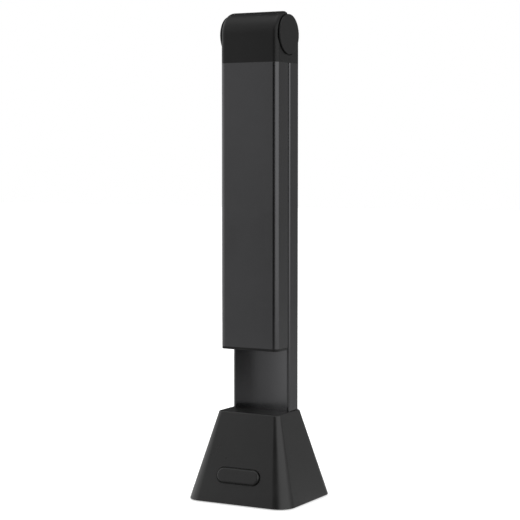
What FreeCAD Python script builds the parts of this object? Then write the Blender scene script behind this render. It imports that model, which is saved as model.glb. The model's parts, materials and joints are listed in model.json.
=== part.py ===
"""A folding overhead document scanner: base, column, friction hinge and camera arm.

The origin is the middle of the footprint on the table. Z is up, the front faces -Y,
and the arm is modelled folded down in front of the column.
"""
import FreeCAD, Part
import math
import os
import Sketcher
from types import SimpleNamespace

V = FreeCAD.Vector
doc = FreeCAD.newDocument("document_scanner")

# Driving dimensions in millimetres
SIZES = {
    # The whole scanner, folded
    "total_height": (345.5, "table to the top of the folded head"),
    "body_width": (46.2, "column, arm and head, left to right"),
    "arm_depth": (16.2, "hinge plane to the front face of the arm"),
    "column_depth": (16.0, "hinge plane to the back face of the column"),
    "seam_gap": (0.3, "gap between the folded arm and the column"),
    "cap_height": (19.8, "hinge axis down to the end of both black caps"),
    "fit": (0.15, "clearance between pieces that slot together"),
    "hole_fit": (0.05, "radial clearance of a screw or shaft in its hole"),
    # Base housing
    "foot_proud": (0.8, "rubber foot below the rim of the base"),
    "base_height": (63.0, "table to the top face of the base"),
    "base_width": (83.1, "base rim, left to right"),
    "base_depth": (73.0, "base rim, front to back"),
    "base_corner": (12.0, "corner radius at the rim"),
    "top_corner": (4.2, "corner radius at the top face"),
    "side_ledge": (1.7, "top face beside the column"),
    "back_ledge": (1.5, "top face behind the column"),
    "base_wall": (2.5, "wall of the base housing"),
    "base_edge": (0.8, "rounding of the top edge"),
    "rim_edge": (0.5, "rounding of the bottom edge"),
    "column_fit": (0.2, "gap around the column in its opening"),
    "sleeve_wall": (2.0, "wall of the sleeve that holds the column"),
    "sleeve_depth": (24.0, "sleeve below the roof of the base"),
    # Bare oval plate on the front of the base
    "badge_length": (33.6, "oval plate, left to right"),
    "badge_width": (10.4, "oval plate, up the slope"),
    "badge_gap": (0.5, "groove around the oval plate"),
    "badge_sink": (1.0, "depth of the groove"),
    "badge_proud": (1.7, "oval plate above the sloping face"),
    "badge_edge": (1.3, "rounding of the oval plate"),
    "badge_middle": (20.0, "height of the middle of the oval plate"),
    "badge_pin": (1.5, "radius of the pins behind the oval plate"),
    "badge_pin_apart": (20.0, "distance between the two pins"),
    # Bottom plate, feet and weight
    "plate_thickness": (2.2, "bottom plate"),
    "foot_radius": (5.0, "rubber foot"),
    "foot_height": (2.0, "rubber foot"),
    "foot_edge": (0.4, "rounding of the rubber foot"),
    "boss_inset": (11.0, "screw boss from the edges of the rim"),
    "boss_radius": (3.5, "screw boss of the housing"),
    "boss_top": (17.0, "height where a boss has run into the wall"),
    "cup_radius": (5.6, "cup of the bottom plate around a screw head"),
    "cup_top": (5.8, "height of the cup"),
    "weight_thickness": (12.0, "steel weight"),
    "weight_width": (49.0, "steel weight, left to right"),
    "weight_from_front": (8.5, "front rim of the base to the steel weight"),
    "plate_screw_behind": (1.6, "back of the column to the heads of the plate screws"),
    "weight_corner": (3.0, "corner radius of the steel weight"),
    "notch_width": (36.0, "notch of the weight around the socket board"),
    "notch_gap": (2.0, "socket board to the notch of the weight"),
    "channel_width": (9.0, "cable channel in the weight"),
    "foot_plate_thickness": (3.0, "steel plate under the column"),
    "foot_plate_front": (10.0, "steel plate in front of the hinge plane"),
    "foot_plate_inset": (0.75, "steel plate inside the edge of the weight"),
    "cable_hole": (3.2, "radius of the holes that the wires pass"),
    "weight_screw_x": (14.0, "screws of the weight from the middle"),
    "weight_screw_y": (17.0, "screws of the weight in front of the hinge plane"),
    # Screws: M3 throughout
    "screw_radius": (1.5, "screw shank"),
    "head_radius": (2.75, "screw head"),
    "head_height": (2.0, "screw head"),
    "sink_height": (1.7, "countersunk head"),
    "base_screw_length": (10.0, "shank below the head"),
    "weight_screw_length": (8.5, "shank with the countersunk head"),
    "plate_screw_length": (9.0, "shank below the head"),
    "port_screw_length": (13.0, "shank in a screw port"),
    "board_screw_length": (4.5, "shank below the head"),
    # Socket and its board
    "board_thickness": (1.2, "every circuit board"),
    "socket_width": (8.94, "oval socket mouth"),
    "socket_height": (3.26, "oval socket mouth"),
    "socket_length": (7.6, "socket, front to back"),
    "socket_wall": (0.35, "metal of the socket"),
    "tongue_width": (6.7, "tongue inside the socket"),
    "tongue_thickness": (0.7, "tongue inside the socket"),
    "socket_middle": (9.4, "height of the middle of the socket"),
    "socket_board_width": (30.0, "socket board, left to right"),
    "socket_board_depth": (11.0, "socket board, front to back"),
    "socket_sink": (1.3, "flat landing around the mouth, behind the sloping back face"),
    "landing_margin": (2.0, "landing around the mouth"),
    # Column
    "column_corner": (1.7, "outer corner radius"),
    "column_set_back": (2.1, "column face behind the front of its head cap"),
    "column_wall": (1.6, "wall of the column"),
    "column_inner_corner": (0.5, "inner corner radius"),
    "column_lip": (2.2, "edge to the start of the hollow front"),
    "hollow_depth": (3.0, "depth of the hollow front face"),
    "port_x": (16.0, "screw port from the middle"),
    "port_y": (8.5, "screw port from the hinge plane"),
    "port_radius": (3.2, "outside of a screw port"),
    "port_web": (2.0, "web from a screw port to the back wall"),
    "tongue_length": (8.0, "plastic tongues that locate the caps"),
    "cap_tongue": (1.5, "thickness of a plastic tongue"),
    # Hinge
    "hood_wall": (2.4, "front wall of the arm's hood"),
    "lug_step": (0.5, "lugs smaller than the knuckle"),
    "cover_overlap": (1.0, "hinge cover beyond the lug"),
    "cover_gap": (0.2, "hinge cover off the side faces"),
    "cover_thickness": (0.9, "hinge cover"),
    "cover_edge": (0.4, "rounding of the hinge cover"),
    "cover_plug": (1.3, "ring that holds the hinge cover"),
    "knuckle_half": (13.0, "half the width of the knuckle"),
    "knuckle_wall": (1.9, "end wall of the knuckle"),
    "knuckle_shell": (3.5, "curved wall of the knuckle"),
    "side_gap": (0.3, "gap between knuckle and lugs"),
    "eye_radius": (8.5, "steel eye of the column bracket"),
    "eye_thickness": (2.8, "steel eye of the column bracket"),
    "eye_outer": (10.8, "outer face of the eye from the middle"),
    "bracket_base": (2.5, "base plate of the column bracket"),
    "bracket_half": (19.0, "half the width of the base plate"),
    "bracket_front": (4.5, "base plate from the hinge plane"),
    "bracket_back": (12.5, "base plate from the hinge plane"),
    "leg_front": (3.0, "leg of the bracket from the hinge plane"),
    "leg_back": (9.5, "leg of the bracket from the hinge plane"),
    "axle_radius": (4.5, "hinge axle"),
    "axle_bore": (2.4, "wire bore of the axle"),
    "axle_flats": (7.0, "across the flats of the axle"),
    "axle_thread": (4.0, "threaded end of the axle"),
    "axle_head": (6.5, "head of the axle"),
    "axle_head_thickness": (2.0, "head of the axle"),
    "axle_window": (7.0, "length of the wire window"),
    "bush_radius": (6.0, "outside of the bush"),
    "flange_radius": (8.0, "flange of the bush and friction washer"),
    "flange_thickness": (1.2, "flange of the bush"),
    "rub_gap": (0.1, "friction washer off its neighbours"),
    "spring_radius": (7.0, "disc spring"),
    "spring_thickness": (0.4, "disc spring"),
    "spring_cone": (0.2, "height of its cone"),
    "spring_count": (4, "disc springs in the stack"),
    "nut_flats": (11.0, "across the flats of the nut"),
    "nut_thickness": (2.6, "hinge nut"),
    "ear_thickness": (2.5, "steel ears of the arm bracket"),
    "ear_radius": (9.5, "steel ears of the arm bracket"),
    "ear_back": (3.0, "leg of an ear from the hinge plane"),
    "bracket_length": (24.0, "arm bracket inside the arm"),
    # Arm
    "arm_length": (200.3, "metal part of the arm"),
    "end_cap": (1.8, "black plate at the tip"),
    "arm_corner": (4.0, "front corner radius of arm and head"),
    "arm_wall": (1.6, "wall of the arm"),
    "arm_inner_corner": (2.4, "inner corner radius of the arm"),
    "back_corner": (0.4, "rounding of the edges along the hinge plane"),
    "rail_x": (10.0, "screw rail from the middle"),
    "rail_width": (5.0, "screw rail"),
    "rail_height": (2.4, "screw rail"),
    "lip_depth": (0.8, "lip behind the underside cover"),
    "lip_reach": (1.2, "lip and ledge from the side wall"),
    "ledge_depth": (1.1, "ledge in front of the underside cover"),
    "panel_thickness": (1.6, "underside cover"),
    "cap_wall": (2.6, "wall of the plastic head"),
    "plug_length": (6.0, "plug of the end cap"),
    # Camera
    "camera_from_tip": (26.0, "lens from the tip of the arm"),
    "bezel_radius": (11.0, "ring around the window"),
    "bezel_proud": (1.6, "ring above the underside cover"),
    "window_radius": (9.0, "glass window"),
    "window_thickness": (1.2, "glass window"),
    "window_sink": (0.9, "window below the ring"),
    "sight_radius": (7.6, "opening behind the window"),
    "barrel_radius": (6.0, "lens barrel"),
    "barrel_front": (3.1, "front of the barrel from the hinge plane"),
    "barrel_length": (6.4, "lens barrel"),
    "element_radius": (4.2, "front lens"),
    "holder_side": (16.0, "lens holder"),
    "holder_height": (4.6, "lens holder"),
    "sensor_side": (7.4, "image sensor"),
    "sensor_height": (0.9, "image sensor"),
    "camera_board_length": (32.0, "camera board along the arm"),
    "board_width": (34.0, "camera and main board, left to right"),
    "main_board_length": (84.0, "main board along the arm"),
    "main_board_gap": (34.0, "camera board to main board"),
    "chip_side": (12.0, "processor on the main board"),
    "chip_height": (1.2, "chips on the main board"),
    "connector_width": (10.0, "connector from the main board to the LED board"),
    "connector_depth": (4.0, "the same connector, along the arm"),
    "flex_width": (11.0, "flat cable between the boards"),
    "flex_thickness": (0.3, "flat cable between the boards"),
    "flex_arch": (2.2, "arch of the flat cable above the boards"),
    # Light bar
    "light_gap": (9.0, "ring to light bar"),
    "light_length": (62.0, "light window along the arm"),
    "light_width": (14.0, "light window"),
    "light_corner": (3.0, "corner radius of the light window"),
    "light_flange": (1.4, "flange of the diffuser behind the cover"),
    "flange_depth": (0.6, "flange of the diffuser"),
    "led_board_gap": (1.2, "diffuser to LED board"),
    "led_count": (6, "light-emitting diodes"),
    "led_side": (3.0, "light-emitting diode"),
    "led_height": (0.8, "light-emitting diode"),
    "post_radius": (2.4, "post that carries the LED board"),
    "post_out": (6.0, "post beyond the light window"),
    "key_radius": (6.0, "touch key of the light"),
    "key_gap": (16.0, "light window to touch key"),
    "key_thickness": (1.0, "touch key"),
    # Wiring
    "wire_radius": (1.5, "wire bundle"),
    "wire_bend": (3.2, "bend of the wire bundle"),
}


class Size:
    """A length with its value and the sheet formula that gives it."""

    def __init__(self, value, formula):
        self.value = value
        self.formula = formula

    def __float__(self):
        return float(self.value)

    def __neg__(self):
        return Size(-self.value, f"(-{self.formula})")

    def __add__(self, other):
        other = as_size(other)
        return Size(self.value + other.value, f"({self.formula} + {other.formula})")

    def __sub__(self, other):
        other = as_size(other)
        return Size(self.value - other.value, f"({self.formula} - {other.formula})")

    def __mul__(self, other):
        other = as_size(other)
        return Size(self.value * other.value, f"({self.formula} * {other.formula})")

    def __truediv__(self, other):
        other = as_size(other)
        return Size(self.value / other.value, f"({self.formula} / {other.formula})")

    def __radd__(self, other):
        return as_size(other) + self

    def __rsub__(self, other):
        return as_size(other) - self

    def __rmul__(self, other):
        return as_size(other) * self


def as_size(number):
    """A plain number as a Size, and a Size as it is."""
    return number if isinstance(number, Size) else Size(float(number), f"({float(number)!r})")


def root(size):
    """The square root of a Size."""
    return Size(math.sqrt(size.value), f"sqrt({size.formula})")


def slope_angle(rise, run):
    """The angle of a slope in degrees."""
    return Size(math.degrees(math.atan(rise.value / run.value)), f"atan({rise.formula} / {run.formula})")


def fill_sheet():
    """Write the driving dimensions into the sheet and return them as Sizes."""
    sheet = doc.addObject("Spreadsheet::Sheet", "Sizes")
    named = {}
    for row, (alias, (value, note)) in enumerate(SIZES.items(), start=1):
        sheet.set(f"A{row}", note)
        sheet.set(f"B{row}", str(value))
        sheet.setAlias(f"B{row}", alias)
        named[alias] = Size(value, f"Sizes.{alias}")
    doc.recompute()
    return named


size = SimpleNamespace(**fill_sheet())

# Lengths that follow from the driving dimensions
half = size.body_width / 2
axis_z = size.total_height - size.arm_depth
seam_z = axis_z - size.cap_height
tip_z = seam_z - size.arm_length
column_front = size.seam_gap / 2
column_face = column_front + size.column_set_back
arm_front = -size.arm_depth
arm_back = -size.seam_gap / 2
top_width = size.body_width + 2 * size.side_ledge
top_depth = 2 * (size.column_depth + size.back_ledge)
plate_top = size.foot_proud + size.plate_thickness
weight_top = plate_top + size.weight_thickness
column_bottom = weight_top + size.foot_plate_thickness
knuckle_radius = size.arm_depth - size.hood_wall - size.seam_gap
lug_radius = knuckle_radius - size.lug_step
recess_radius = lug_radius + size.seam_gap
lug_inner = size.knuckle_half + size.side_gap
ear_inner = lug_inner + size.rub_gap
ear_outer = ear_inner + size.ear_thickness
screw_hole = size.screw_radius + size.hole_fit

# How far a solid must run past a face that it cuts through
PAST = 1.0
TURNS = {
    "x": FreeCAD.Rotation(V(0, 1, 0), 90),
    "y": FreeCAD.Rotation(V(1, 0, 0), -90),
    "z": FreeCAD.Rotation(),
}
pieces = []


def bind(thing, path, length):
    """Tie a property or a constraint to the sheet."""
    thing.setExpression(path, as_size(length).formula)


def move_to(piece, place):
    """Tie the place of a piece's own origin to the sheet."""
    for letter, length in zip("xyz", place):
        bind(piece, f"Placement.Base.{letter}", length)
    return piece


def block(name, x, y, z):
    """A box between two limits along each axis."""
    piece = doc.addObject("Part::Box", name)
    for side, (low, high) in zip(("Length", "Width", "Height"), (x, y, z)):
        bind(piece, side, as_size(high) - low)
    return move_to(piece, (x[0], y[0], z[0]))


def rod(name, axis, radius, low, high, middle=(0, 0)):
    """A cylinder between two limits along an axis, with its middle across that axis."""
    piece = doc.addObject("Part::Cylinder", name)
    piece.Placement = FreeCAD.Placement(V(), TURNS[axis])
    bind(piece, "Radius", radius)
    bind(piece, "Height", as_size(high) - low)
    place = list(middle)
    place.insert("xyz".index(axis), low)
    return move_to(piece, place)


def join(name, *parts):
    """Several solids as one."""
    piece = doc.addObject("Part::MultiFuse", name)
    piece.Shapes = list(parts)
    piece.Refine = True
    return piece


def group(name, *parts):
    """Several separate solids under one name."""
    piece = doc.addObject("Part::Compound", name)
    piece.Links = list(parts)
    return piece


def cut(name, solid, *tools):
    """A solid with others taken away."""
    piece = doc.addObject("Part::Cut", name)
    piece.Base = solid
    piece.Tool = tools[0] if len(tools) == 1 else group(name + "_tools", *tools)
    piece.Refine = True
    return piece


def keep(name, piece):
    """Name a finished sub-part, which gives its file the same name."""
    piece.Label = name
    pieces.append(piece)
    return piece


def both_sides(make):
    """The same feature on the left and on the right: make(-1) and make(1)."""
    return [make(side) for side in (-1, 1)]


def span(side, near, far):
    """Limits along X of something that runs from near to far on one side."""
    return (as_size(near), as_size(far)) if side > 0 else (-as_size(far), -as_size(near))


def plane_of(body, role):
    """One of a body's own origin planes."""
    return next(plane for plane in body.Origin.OriginFeatures if plane.Role == role)


def arc(start, end, middle, hollow):
    """The arc from start to end about middle, counterclockwise unless it is hollow."""
    if hollow:
        start, end = end, start
    first = math.atan2(start.y - middle.y, start.x - middle.x)
    last = math.atan2(end.y - middle.y, end.x - middle.x)
    if last < first:
        last += 2 * math.pi
    return Part.ArcOfCircle(Part.Circle(middle, V(0, 0, 1), (start - middle).Length), first, last)


def draw(body, name, role, outline, offset=0):
    """A sketch of one closed outline on a plane of the body, counterclockwise.

    Each corner is (x, y) where a straight side starts, or (x, y, middle) where an arc
    about middle starts. A fourth word, hollow, makes the arc curve inwards.
    """
    sketch = body.newObject("Sketcher::SketchObject", name)
    sketch.AttachmentSupport = [(plane_of(body, role), "")]
    sketch.MapMode = "FlatFace"
    bind(sketch, "AttachmentOffset.Base.z", offset)
    flat = [V(float(corner[0]), float(corner[1]), 0) for corner in outline]
    starts, ends = [], []
    for index, corner in enumerate(outline):
        start, end = flat[index], flat[(index + 1) % len(flat)]
        if len(corner) == 2:
            side = sketch.addGeometry(Part.LineSegment(start, end), False)
            starts.append((side, 1))
            ends.append((side, 2))
        else:
            hollow = len(corner) == 4
            middle = V(float(corner[2][0]), float(corner[2][1]), 0)
            side = sketch.addGeometry(arc(start, end, middle, hollow), False)
            starts.append((side, 2 if hollow else 1))
            ends.append((side, 1 if hollow else 2))
    for index, corner in enumerate(outline):
        following = starts[(index + 1) % len(outline)]
        sketch.addConstraint(Sketcher.Constraint("Coincident", *ends[index], *following))
        fix_point(sketch, starts[index], "DistanceX", corner[0])
        fix_point(sketch, starts[index], "DistanceY", corner[1])
        if len(corner) > 2:
            chord = flat[(index + 1) % len(flat)] - flat[index]
            across = abs(chord.y) > abs(chord.x)
            middle = (starts[index][0], 3)
            fix_point(sketch, middle, "DistanceX" if across else "DistanceY", corner[2][0 if across else 1])
    return sketch


def fix_point(sketch, point, kind, length):
    """Tie one coordinate of a point of a sketch to the sheet."""
    length = as_size(length)
    index = sketch.addConstraint(Sketcher.Constraint(kind, -1, 1, *point, length.value))
    bind(sketch, f"Constraints[{index}]", length)


def rounded(x, y, front, back=None):
    """The outline of a rectangle with rounded corners, front radius first."""
    back = front if back is None else back
    return [
        (x[0] + front, y[0]),
        (x[1] - front, y[0], (x[1] - front, y[0] + front)),
        (x[1], y[0] + front),
        (x[1], y[1] - back, (x[1] - back, y[1] - back)),
        (x[1] - back, y[1]),
        (x[0] + back, y[1], (x[0] + back, y[1] - back)),
        (x[0], y[1] - back),
        (x[0], y[0] + front, (x[0] + front, y[0] + front)),
    ]


def oval(length, width):
    """The outline of an oval with straight sides along X and round ends."""
    straight = (length - width) / 2
    return [
        (-straight, -width / 2),
        (straight, -width / 2, (straight, 0)),
        (straight, width / 2),
        (-straight, width / 2, (-straight, 0)),
    ]


def new_body(name):
    return doc.addObject("PartDesign::Body", name)


def extrude(name, role, outline, low, high):
    """A body with one outline pulled straight between two heights above its plane."""
    body = new_body(name)
    pad = body.newObject("PartDesign::Pad", name + "_pad")
    pad.Profile = draw(body, name + "_outline", role, outline, low)
    bind(pad, "Length", as_size(high) - low)
    body.Tip = pad
    return body


def turn(name, axis, outline, place=(0, 0, 0)):
    """A body turned about X, Y or Z from straight sides through (along the axis, radius)."""
    body = new_body(name)
    if axis == "x":
        profile, role, line = outline, "XY_Plane", "H_Axis"
    else:
        profile = [(radius, along) for along, radius in outline]
        role, line = "XZ_Plane" if axis == "z" else "XY_Plane", "V_Axis"
    sketch = draw(body, name + "_profile", role, profile)
    spin = body.newObject("PartDesign::Revolution", name + "_turn")
    spin.Profile = sketch
    spin.ReferenceAxis = (sketch, [line])
    spin.Angle = 360
    body.Tip = spin
    return move_to(body, place)


def edges_of(feature, chosen):
    """The names of the edges of a feature whose middle and box pass a test."""
    names = []
    for number, edge in enumerate(feature.Shape.Edges, start=1):
        middle = edge.valueAt((edge.FirstParameter + edge.LastParameter) / 2)
        if chosen(middle, edge.BoundBox):
            names.append(f"Edge{number}")
    return names


def soften(body, name, radius, chosen):
    """Round the chosen edges of a body's last feature."""
    doc.recompute()
    last = body.Tip
    fillet = body.newObject("PartDesign::Fillet", name)
    fillet.Base = (last, edges_of(last, chosen))
    bind(fillet, "Radius", radius)
    body.Tip = fillet
    return body


def loft(name, *sections):
    """A body with flat and conical sides through several (outline, height) sections."""
    body = new_body(name)
    feature = body.newObject("PartDesign::AdditiveLoft", name + "_loft")
    sketches = [draw(body, f"{name}_section{step}", "XY_Plane", *section)
                for step, section in enumerate(sections)]
    feature.Profile = sketches[0]
    feature.Sections = sketches[1:]
    feature.Ruled = True
    body.Tip = feature
    return body


def near(first, second):
    return abs(float(first) - float(second)) < 0.01


def screw(name, axis, head_at, shank_to, middle, sunk=False):
    """A screw whose head starts at head_at and whose shank ends at shank_to."""
    way = 1 if float(shank_to) > float(head_at) else -1
    height = size.sink_height if sunk else size.head_height
    under = head_at + way * height
    low, high = (under, shank_to) if way > 0 else (shank_to, under)
    shank = rod(name + "_shank", axis, size.screw_radius, low, high, middle)
    if sunk:
        outline = [(0, 0), (way * height, 0), (way * height, size.screw_radius), (0, size.head_radius)]
        place = list(middle)
        place.insert("xyz".index(axis), head_at)
        head = turn(name + "_head", axis, outline, place)
    else:
        low, high = (head_at, under) if way > 0 else (under, head_at)
        head = rod(name + "_head", axis, size.head_radius, low, high, middle)
    return join(name, head, shank)


def sunk_hole(name, head_at, to, middle):
    """The upright countersunk hole that a screw from below needs."""
    depth = to - head_at
    outline = [
        (0, 0),
        (depth, 0),
        (depth, screw_hole),
        (size.sink_height, screw_hole),
        (0, size.head_radius + size.hole_fit),
    ]
    return turn(name, "z", outline, (*middle, head_at))


def wire(name, route, radius, bend):
    """A round bundle along straight runs that are joined by arcs of one radius."""
    points = [V(*(float(value) for value in point)) for point in route]
    edges = []
    at = points[0]
    for before, corner, after in zip(points, points[1:], points[2:]):
        into = (corner - before).normalize()
        out = (after - corner).normalize()
        reach = float(bend) * math.tan(into.getAngle(out) / 2)
        start, end = corner - into * reach, corner + out * reach
        inward = (out - into).normalize()
        middle = corner + inward * (math.hypot(reach, float(bend)) - float(bend))
        edges.append(Part.makeLine(at, start))
        edges.append(Part.Arc(start, middle, end).toShape())
        at = end
    edges.append(Part.makeLine(at, points[-1]))
    path = Part.Wire(edges)
    ring = Part.Wire(Part.makeCircle(float(radius), points[0], points[1] - points[0]))
    piece = doc.addObject("Part::Feature", name)
    piece.Shape = path.makePipeShell([ring], True, False)
    return piece


# Base housing, open below, with the opening and the sleeve for the column
def taper(bottom, top, z):
    """A size of the housing that changes evenly from the rim to the top face."""
    share = (size.base_height - z) / (size.base_height - size.foot_proud)
    return top + (bottom - top) * share


def base_outline(z, inset=0):
    """The outline of the housing at a height, moved inwards by inset."""
    x = taper(size.base_width / 2, top_width / 2, z) - inset
    y = taper(size.base_depth / 2, top_depth / 2, z) - inset
    corner = taper(size.base_corner, size.top_corner, z) - inset
    return rounded((-x, x), (-y, y), corner)


def column_outline(grow, corner):
    """The section of the column, with its hollow front, grown all round."""
    x = half + grow
    front = column_face - grow
    back = size.column_depth + grow
    bow = half - size.column_lip
    radius = (bow * bow + size.hollow_depth * size.hollow_depth) / (2 * size.hollow_depth)
    middle = (0, column_face + size.hollow_depth - radius)
    return [
        (-x + corner, front),
        (-bow, front, middle, "hollow"),
        (bow, front),
        (x - corner, front, (x - corner, front + corner)),
        (x, front + corner),
        (x, back - corner, (x - corner, back - corner)),
        (x - corner, back),
        (-x + corner, back, (-x + corner, back - corner)),
        (-x, back - corner),
        (-x, front + corner, (-x + corner, front + corner)),
    ]


tilt = slope_angle((size.base_depth - top_depth) / 2, size.base_height - size.foot_proud)
badge_y = -taper(size.base_depth / 2, top_depth / 2, size.badge_middle)
socket_landing = taper(size.base_depth / 2, top_depth / 2, size.socket_middle) - size.socket_sink
boss_x = size.base_width / 2 - size.boss_inset
boss_y = size.base_depth / 2 - size.boss_inset
boss_places = [(x, y) for x in (-boss_x, boss_x) for y in (-boss_y, boss_y)]
base_screw_under = size.foot_height + size.hole_fit + size.head_height
base_screw_tip = base_screw_under + size.base_screw_length


def on_slope(piece):
    """Put a piece made upright at the origin on the sloping front face."""
    piece.Placement = FreeCAD.Placement(V(), FreeCAD.Rotation(V(-1, 0, 0), 10))
    bind(piece, "Placement.Rotation.Angle", tilt)
    return move_to(piece, (0, badge_y, size.badge_middle))


def badge_pin_rods(name, radius, low, high):
    """The two pins behind the oval plate, or their holes."""
    return [on_slope_rod(f"{name}{number}", radius, side * size.badge_pin_apart / 2, low, high)
            for number, side in enumerate((-1, 1))]


def on_slope_rod(name, radius, x, low, high):
    """A cylinder square to the sloping face, between two depths behind it."""
    outline = [(x - radius, 0, (x, 0)), (x + radius, 0, (x, 0))]
    return on_slope(extrude(name, "XZ_Plane", outline, -as_size(high), -as_size(low)))


def make_base_shell():
    rim = size.foot_proud
    low_edge = rim + size.rim_edge
    high_edge = size.base_height - size.base_edge
    ceiling = size.base_height - size.base_wall
    outside = loft(
        "base_outside",
        (base_outline(rim, size.rim_edge), rim),
        (base_outline(low_edge), low_edge),
        (base_outline(high_edge), high_edge),
        (base_outline(size.base_height, size.base_edge), size.base_height),
    )
    inside = loft(
        "base_inside",
        (base_outline(rim, size.base_wall), rim),
        (base_outline(ceiling, size.base_wall), ceiling),
    )
    bosses = [rod(f"boss{number}", "z", size.boss_radius, size.cup_top, size.boss_top, place)
              for number, place in enumerate(boss_places)]
    pilots = [rod(f"pilot{number}", "z", screw_hole, size.cup_top - PAST, base_screw_tip + PAST, place)
              for number, place in enumerate(boss_places)]
    outer = size.column_fit + size.sleeve_wall
    sleeve = block(
        "column_sleeve",
        (-half - outer, half + outer),
        (column_face - outer, size.column_depth + outer),
        (ceiling - size.sleeve_depth, size.base_height),
    )
    kept_inside = cut("inner_ribs", join("bosses_and_sleeve", sleeve, *bosses), *pilots)
    opening = extrude(
        "column_opening",
        "XY_Plane",
        column_outline(size.column_fit, size.column_corner + size.column_fit),
        ceiling - size.sleeve_depth - PAST,
        size.base_height + PAST,
    )
    groove = on_slope(extrude(
        "badge_groove",
        "XZ_Plane",
        oval(size.badge_length + 2 * size.badge_gap, size.badge_width + 2 * size.badge_gap),
        -size.badge_sink,
        PAST,
    ))
    pin_holes = badge_pin_rods("badge_pin_hole", size.badge_pin + size.hole_fit, 0, 2 * size.base_wall)
    side = size.socket_width / 2 + size.landing_margin
    up = size.socket_height / 2 + size.landing_margin
    landing = block(
        "socket_landing",
        (-side, side),
        (socket_landing, size.base_depth / 2 + PAST),
        (size.socket_middle - up, size.socket_middle + up),
    )
    mouth = move_to(extrude(
        "socket_mouth",
        "XZ_Plane",
        oval(size.socket_width + 2 * size.fit, size.socket_height + 2 * size.fit),
        -socket_landing - PAST,
        -socket_landing + size.socket_length,
    ), (0, 0, size.socket_middle))
    shell = cut(
        "base_shell",
        outside,
        cut("base_room", inside, kept_inside),
        opening,
        groove,
        landing,
        mouth,
        *pin_holes,
    )
    return keep("base_shell", shell)


def make_badge():
    """The oval plate on the front, left bare."""
    plate = extrude(
        "badge_plate",
        "XZ_Plane",
        oval(size.badge_length, size.badge_width),
        -size.badge_sink,
        size.badge_proud,
    )
    soften(plate, "badge_rounding", size.badge_edge,
           lambda middle, box: near(box.YMin, -size.badge_proud) and near(box.YMax, -size.badge_proud))
    pins = badge_pin_rods("badge_pin", size.badge_pin, size.badge_sink, size.base_wall + PAST)
    return keep("oval_badge", join("oval_badge", on_slope(plate), *pins))


# Bottom plate, feet, weight and the steel plate under the column
board_low = size.socket_middle - size.socket_height / 2 - size.board_thickness
socket_front = socket_landing - size.socket_length
socket_board_back = socket_landing - size.landing_margin
socket_post_x = size.socket_board_width / 2 - size.boss_radius
socket_post_y = socket_board_back - size.socket_board_depth / 2
weight_half = size.weight_width / 2
weight_front = size.base_depth / 2 - size.weight_from_front
foot_plate_half = weight_half - size.foot_plate_inset
ear_middle = (foot_plate_half + size.notch_width / 2) / 2
rear_screw_y = size.column_depth + size.plate_screw_behind + size.head_radius
foot_plate_back = rear_screw_y + (foot_plate_half - ear_middle)
weight_back = foot_plate_back + size.foot_plate_inset
notch_front = socket_board_back - size.socket_board_depth - size.notch_gap
plate_screw_places = [
    (-ear_middle, -size.foot_plate_front / 2),
    (ear_middle, -size.foot_plate_front / 2),
    (-ear_middle, rear_screw_y),
    (ear_middle, rear_screw_y),
]
weight_screw_places = both_sides(lambda side: (side * size.weight_screw_x, -size.weight_screw_y))
port_places = both_sides(lambda side: (side * size.port_x, size.port_y))
socket_post_places = both_sides(lambda side: (side * socket_post_x, socket_post_y))


def make_bottom_plate():
    flat = extrude(
        "plate_sheet",
        "XY_Plane",
        base_outline(plate_top, size.base_wall + size.fit),
        size.foot_proud,
        plate_top,
    )
    cups = [rod(f"cup{number}", "z", size.cup_radius, size.foot_proud, size.cup_top, place)
            for number, place in enumerate(boss_places)]
    posts = [rod(f"socket_post{number}", "z", size.post_radius, size.foot_proud, board_low, place)
             for number, place in enumerate(socket_post_places)]
    tools = []
    for number, place in enumerate(boss_places):
        tools.append(rod(f"foot_recess{number}", "z", size.foot_radius + size.fit,
                         size.foot_proud - PAST, size.foot_height, place))
        tools.append(rod(f"head_recess{number}", "z", size.head_radius + size.fit,
                         size.foot_height - PAST, base_screw_under, place))
        tools.append(rod(f"screw_way{number}", "z", screw_hole,
                         size.foot_height, size.cup_top + PAST, place))
    for number, place in enumerate(weight_screw_places):
        tools.append(sunk_hole(f"weight_way{number}", size.foot_proud, plate_top + PAST, place))
    for number, place in enumerate(socket_post_places):
        tools.append(rod(f"socket_pilot{number}", "z", screw_hole,
                         board_low - size.board_screw_length, board_low + PAST, place))
    return keep("bottom_plate", cut("bottom_plate", join("plate_form", flat, *cups, *posts), *tools))


def make_feet():
    feet = []
    for number, place in enumerate(boss_places):
        foot = turn(
            f"foot{number}",
            "z",
            [
                (size.foot_height, 0),
                (size.foot_height, size.foot_radius),
                (size.foot_edge, size.foot_radius),
                (0, size.foot_radius - size.foot_edge),
                (0, 0),
            ],
            (*place, 0),
        )
        feet.append(foot)
    return keep("rubber_feet", group("rubber_feet", *feet))


def notch_block(name, low, high):
    """The room for the socket board at the back of a plate."""
    return block(
        name,
        (-size.notch_width / 2, size.notch_width / 2),
        (notch_front, weight_back + PAST),
        (low - PAST, high + PAST),
    )


def make_weight():
    form = extrude(
        "weight_form",
        "XY_Plane",
        rounded((-weight_half, weight_half), (-weight_front, weight_back), size.weight_corner),
        plate_top,
        weight_top,
    )
    channel = block(
        "wire_channel",
        (-size.channel_width / 2, size.channel_width / 2),
        (size.port_y - size.channel_width / 2, notch_front + PAST),
        (plate_top - PAST, weight_top + PAST),
    )
    holes = [rod(f"plate_pilot{number}", "z", screw_hole,
                 column_bottom - size.plate_screw_length - PAST, weight_top + PAST, place)
             for number, place in enumerate(plate_screw_places)]
    holes += [rod(f"weight_pilot{number}", "z", screw_hole, plate_top - PAST,
                  size.foot_proud + size.weight_screw_length + PAST, place)
              for number, place in enumerate(weight_screw_places)]
    notch = notch_block("weight_notch", plate_top, weight_top)
    return keep("steel_weight", cut("steel_weight", form, channel, notch, *holes))


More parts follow.
